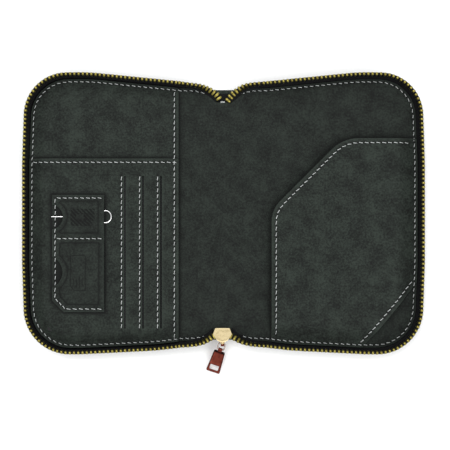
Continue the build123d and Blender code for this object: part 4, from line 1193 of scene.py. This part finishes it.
for tag, tables, bead_up, pitch_share in (
    ("top", (TOP_RIGHT, TOP_LEFT), 0.3, 0.97),
    ("bottom", (BOTTOM_END, BOTTOM_END), 0.75, 1.0),
):
    top = tag == "top"
    for (side, half), table in zip(SIDES, map(np.array, tables)):
        fine = end_places(stations(table, 0.8), half, top)
        grid = [end_section(c, up, foot) for c, _, up, foot in fine]
        strip = thick_grid(f"zip_tape_{tag}_{side}", grid, 0.55)
        dress(strip, "zip_tape", replaces=[f"zipper_tape_{tag}_end"], blend=over_fold(half))
        bead_path = [c + up * bead_up for c, _, up, _ in fine]
        bead = rod(f"zip_bead_{tag}_{side}", bead_path, circle(0.75, BEAD_SIDES))
        dress(bead, "zip_tape", blend=over_fold(half))
        places = [place[:3] for place in end_places(stations(table, TOOTH_PITCH * pitch_share), half, top)]
        teeth = [f"zipper_teeth_{tag}_end"]
        chain(f"zip_teeth_{tag}_{side}", places, replaces=teeth, blend=over_fold(half))

# The web of tape that closes the point of the V.
web_corners = [(9.8, 68.2, 0.6), (-9.0, 68.2, 0.6), (-4.8, 63.4, 2.0)]
web_corners += [(-1.2, 62.2, 1.5), (1.6, 62.1, 1.5), (5.0, 63.2, 2.0)]
dress(sheet("zip_web_top", rounded_path(web_corners, 0.8), 0.4, level(1.7), grid=1.2), "zip_tape", "spine")

# The bar tack: threads side by side over the point of the V.
tack, along = [], np.linspace(0, 1, 6)
for x in -1.5 + 0.34 * np.arange(7):
    path = [(x + 0.05 * t, 63.1 + 0.6 * t, 2.5 + 0.4 * math.sin(math.pi * t)) for t in along]
    tack.append(sweep(path, circle(0.19, 7), (1, 0, 0)))
dress(new_object("bar_tack_threads", *join(tack)), "thread", "spine", ["bar_tack"])

# ---------------------------------------------------------------- slider


def placed(x_axis, y_axis, z_axis, origin):
    """The matrix that puts a piece's own axes and its origin, in millimetres, into the wallet."""
    place = Matrix((x_axis, y_axis, z_axis)).transposed().to_4x4()
    place.translation = Vector(origin) * MM
    return place


SLIDER_TILT = math.radians(38.0)
slider_y = Vector((0, math.cos(SLIDER_TILT), -math.sin(SLIDER_TILT)))
slider_z = Vector((0, math.sin(SLIDER_TILT), math.cos(SLIDER_TILT)))
slider_place = placed((1, 0, 0), slider_y, slider_z, (-0.6, -70.2, 7.6))
HALF_THICK, PLATE_THICK, RAIL_THICK = 2.1, 0.9, 0.75
CHANNEL = HALF_THICK - PLATE_THICK  # half the gap between the plates
INNER_CORNERS = [(4.15, 4.7, 0.8), (5.5, 0.4, 1.6), (3.0, -3.4, 2.0), (0.0, -5.0, 1.5)]
OUTER_CORNERS = [(4.15, 4.7, 0.8), (4.9, 1.2, 1.6), (1.5, -2.4, 1.2), (0.0, -4.6, 0.9)]
WEDGE_CORNERS = [(0, -4.2, 0.3), (1.2, -1.9, 0.4), (0, 0.8, 0.2), (-1.2, -1.9, 0.4)]


def gold_plate(name, corners, top_z, recess):
    """One plate of the slider, with a thin raised rim if recess is more than nothing."""
    rim = rounded_path(corners[::-1] + [(-x, y, r) for x, y, r in corners[:-1]], 0.4)

    def height(x, y):
        dist, _ = nearest(np.column_stack([x, y]), rim, True)
        return top_z - recess * smooth((dist - 0.45) / 0.3)

    return sheet(name, rim, PLATE_THICK, height, grid=0.42, bevel=0.22, place=slider_place)


inner_plate = gold_plate("slider_inner_plate", INNER_CORNERS, HALF_THICK, 0.1)
dress(inner_plate, "slider_gold", "slider", ["slider_body"])
gold = [gold_plate("slider_outer_plate", OUTER_CORNERS, -HALF_THICK + PLATE_THICK, 0.0)]
wedge_rim = rounded_path(WEDGE_CORNERS, 0.4)
wedge_top = level(CHANNEL)
wedge = sheet("slider_wedge", wedge_rim, 2 * CHANNEL, wedge_top, grid=0.8, bevel=0.05, place=slider_place)
gold.append(wedge)
for letter, sign in (("r", 1), ("l", -1)):
    corners = [(3.5, 4.45), (4.1, 4.45), (4.65, 1.5), (4.05, 1.5)][::-sign]
    rim = rounded_path([(sign * x, y, 0.15) for x, y in corners], 0.5)
    for end, top_z in (("a", RAIL_THICK - CHANNEL), ("b", CHANNEL)):
        name = f"slider_rail_{letter}{end}"
        rail = sheet(name, rim, RAIL_THICK, level(top_z), grid=0.7, bevel=0.15, place=slider_place)
        gold.append(rail)
for piece in gold:
    dress(piece, "slider_gold", "slider")

crown_line = [(-3.65, -2.0, 0), (-3.65, -4.1, 0.9), (2.15, -4.1, 0.9), (2.15, -2.0, 0)]
crown_path = [(0, y, z) for y, z in rounded_path(crown_line, 0.35, closed=False)]
crown = rod("slider_crown_strap", crown_path, section(2.0, 0.95, 0.22), (1, 0, 0), False, slider_place, 40)
dress(crown, "pull_copper", "slider", ["slider_crown"])

# ---------------------------------------------------------------- pull ring and tab

SKEW, SLOPE = math.radians(18.6), math.radians(16.0)
pull_u = Vector((-math.sin(SKEW) * math.cos(SLOPE), -math.cos(SKEW) * math.cos(SLOPE), -math.sin(SLOPE)))
pull_v = Vector((math.cos(SKEW), -math.sin(SKEW), 0))
pull_place = placed(-pull_v, pull_u, pull_u.cross(pull_v), (-0.6, -74.0035, 6.9549))
LINK_LENGTH, LINK_HALF, WIRE, LINK_CORNER = 3.9, 1.9, 0.4, 0.75
TAB_TOP, TAB_END, TOP_HALF, END_HALF = 4.9, 18.3, 3.15, 4.05
WINDOW_HALF, WINDOW_LOW, WINDOW_HIGH = 2.5, TAB_END - 1.3 - 3.1, TAB_END - 1.3
KNUCKLE_R, KNUCKLE_WIDE = 0.715, 2.4


def mirrored(corners):
    """A loop from its corners on one side and their mirror images."""
    return rounded_path(corners + [(-x, y, r) for x, y, r in corners[::-1]], 0.4)


def tab_height(x, y):
    """The tab's height with its raised rims, and its darkness: painted shadow across its top and painted
    shade along its rims.
    """
    pts = np.column_stack([x, y])
    edge = nearest(pts, tab_rim, True)[0]
    dist = np.minimum(edge, nearest(pts, window, True)[0])
    # Painted shade along the rims and a painted shadow band across the top, under the link.
    by_rim = 0.7 * smooth((0.75 - edge) / 0.5) * (y < WINDOW_HIGH)
    painted_shade = np.maximum(smooth((TAB_TOP + 1.5 - y) / 0.4), by_rim)
    recess = 0.22 * smooth((dist - 0.7) / 0.3) * smooth((WINDOW_LOW - 0.7 - y) / 0.4)
    return 0.5 - recess, painted_shade


link_line = [(-LINK_HALF, 0), (LINK_HALF, 0), (LINK_HALF, LINK_LENGTH), (-LINK_HALF, LINK_LENGTH)]
link_line = rounded_path([(*corner, LINK_CORNER) for corner in link_line], 0.3)
link = rod("pull_link_wire", [(x, y, 0) for x, y in link_line], circle(WIRE), closed=True, place=pull_place)
dress(link, "link_nickel", "link", ["pull_link"])

tab_rim = mirrored([(TOP_HALF, TAB_TOP, 0.7), (END_HALF, TAB_END, 0.6)])
window = mirrored([(WINDOW_HALF, WINDOW_LOW, 0.4), (WINDOW_HALF, WINDOW_HIGH, 0.4)])
tab = sheet("pull_tab_plate", tab_rim, 1.0, tab_height, [window], grid=0.5, bevel=0.26, place=pull_place)
dress(tab, "pull_copper", "pull", ["pull_tab"])
angles = np.linspace(0, 2 * math.pi, 25)[:-1]
path = [(0, LINK_LENGTH + KNUCKLE_R * math.cos(a), KNUCKLE_R * math.sin(a)) for a in angles]
knuckle = rod("pull_tab_knuckle", path, section(KNUCKLE_WIDE, 0.44, 0.12), (1, 0, 0), True, pull_place, 50)
dress(knuckle, "pull_copper", "pull")
path = [(0, LINK_LENGTH + 0.8, 0), (0, TAB_TOP + 0.5, 0)]
neck = rod("pull_tab_neck", path, section(KNUCKLE_WIDE, 0.95, 0.2), (1, 0, 0), False, pull_place, 40)
dress(neck, "pull_copper", "pull")

# ---------------------------------------------------------------- stitches

THREAD_R = 0.225
THREAD_SIDES, THREAD_RINGS = 8, 9
DIP, ARCH = 0.3, 0.36  # how deep a stitch's ends lie in the leather, and how far its middle rises from them
SLANT, TWIST = 0.06, 2.6  # how far a stitch lies across its line, and how far its plies turn


def stitch_row(path, pitch, height, closed=False, skip=None, gap=0.15):
    """Stitches on an evenly pointed path: each dips into the leather at both ends."""
    parts = []
    theta = np.arange(THREAD_SIDES) * math.pi / 4
    for i in range(len(path) if closed else len(path) - 1):
        a, b = path[i], path[(i + 1) % len(path)]
        lean = np.array([a[1] - b[1], b[0] - a[0]]) * SLANT
        p, q = a + (b - a) * gap + lean, b + (a - b) * gap - lean
        if skip is not None and (skip(*p) or skip(*q)):
            continue
        zp, zq = height(*np.array([p, q]).T)
        d = unit(np.append(q - p, 0.0))
        across = np.array([-d[1], d[0], 0.0])
        verts = []
        for t in np.linspace(0, 1, THREAD_RINGS):
            swell = (1 - abs(2 * t - 1) ** 3) ** 0.5
            centre = np.append(p + (q - p) * t, zp + (zq - zp) * t - DIP + ARCH * swell)
            turn = TWIST * t + 0.4 * math.sin(i * 1.7)
            r = THREAD_R * (0.9 + 0.16 * np.cos(2 * (theta - turn))) * (0.72 + 0.28 * swell)
            up = np.outer(r * np.sin(theta), [0, 0, 1.0]) * 0.85
            verts.append(centre + np.outer(r * np.cos(theta), across) + up)
        parts.append((np.vstack(verts), ring_faces(THREAD_RINGS, THREAD_SIDES)))
    return parts


def right_level(x, y):
    return np.where(inside(np.column_stack([x, y]), passport_rim), passport_z(x, y), LINING_TOP)


def left_level(x, y):
    on_cash, on_ticket = x < CASH_X, (x < CASH_X) & (y < TICKET_Y)
    return np.where(on_ticket, ticket_z(x, y), np.where(on_cash, cash_z(x, y), LINING_TOP))


def patch_level(x, y):
    return np.where(inside(np.column_stack([x, y]), patch_rim), patch_z(x, y)[0], ticket_z(x, y))


def off_pocket(x, y):
    """Whether a place lies on the border's stitches or outside them."""
    return float(inset_at(np.array([x]), np.array([y]))[0]) < BORDER_INSET + 0.3


def sew(name, body, node, rows, height, **options):
    """One object for all stitches of the rows, each row a path and its pitch."""
    parts = [part for row in rows for part in stitch_row(*row, height, **options)]
    dress(new_object(name, *join(parts)), "thread", body, [f"stitching_{node}"])


BORDER_FROM_X = 9.7
border = [(border_path, border_pitch)]
for (side, half), height in zip(SIDES, (right_level, left_level)):
    options = {"closed": True, "skip": lambda x, y: half * x < BORDER_FROM_X, "gap": 0.18}
    sew(f"border_stitches_{side}", f"{side}_cover", f"border_{side}", border, height, **options)
sew("passport_stitches", "right_cover", "passport_pocket", passport_rows, passport_z, skip=off_pocket)
sew("cash_stitches", "left_cover", "cash_pocket", [cash_row], left_level, skip=off_pocket)
sew("ticket_stitches", "left_cover", "ticket_pocket", [ticket_row], ticket_z, skip=off_pocket)
sew("card_slot_stitches", "left_cover", "card_slots", slit_rows, ticket_z)
sew("sim_patch_stitches", "left_cover", "sim_patch", patch_rows, patch_level)

# ---------------------------------------------------------------- stage, light and camera

paper = Nodes("floor_paper")
paper_colour = paper.ramp(paper.noise(0.02), [(0.3, (0.93, 0.93, 0.925)), (0.7, (0.95, 0.95, 0.945))])
FLOOR_HALF, FLOOR_Z = 3000, -0.05
corners = [(x * FLOOR_HALF, y * FLOOR_HALF, FLOOR_Z) for x, y in ((-1, -1), (1, -1), (1, 1), (-1, 1))]
floor = new_object("floor", corners, [(0, 1, 2, 3)])
floor.data.materials.append(paper.finish(paper_colour, 0.9, specular=0.1))

world = bpy.data.worlds.new("studio")
bpy.context.scene.world = world
world.use_nodes = True
background = world.node_tree.nodes["Background"]
background.inputs["Color"].default_value = (0.98, 0.99, 1.0, 1.0)
background.inputs["Strength"].default_value = 1.0


def area_light(name, place, size, power):
    """A soft light that faces the middle of the wallet."""
    light = bpy.data.lights.new(name, "AREA")
    light.shape = "RECTANGLE"
    light.size, light.size_y = size
    light.energy = power
    obj = bpy.data.objects.new(name, light)
    obj.location = place
    obj.rotation_euler = (-Vector(place)).to_track_quat("-Z", "Y").to_euler()
    bpy.context.scene.collection.objects.link(obj)


area_light("key", (-0.3, 0.5, 1.25), (0.9, 0.7), 8.0)
area_light("fill", (0.6, -0.6, 1.1), (0.9, 0.9), 6.5)

camera_data = bpy.data.cameras.new("camera")
camera_data.lens = 97.7
camera_data.sensor_width = 36.0
camera_data.clip_start = 0.01
camera_data.clip_end = 20.0
camera = bpy.data.objects.new("camera", camera_data)
camera.location = (0.00085, -0.0068, 0.7)
bpy.context.scene.collection.objects.link(camera)
bpy.context.scene.camera = camera
bpy.context.scene.view_settings.view_transform = "Standard"
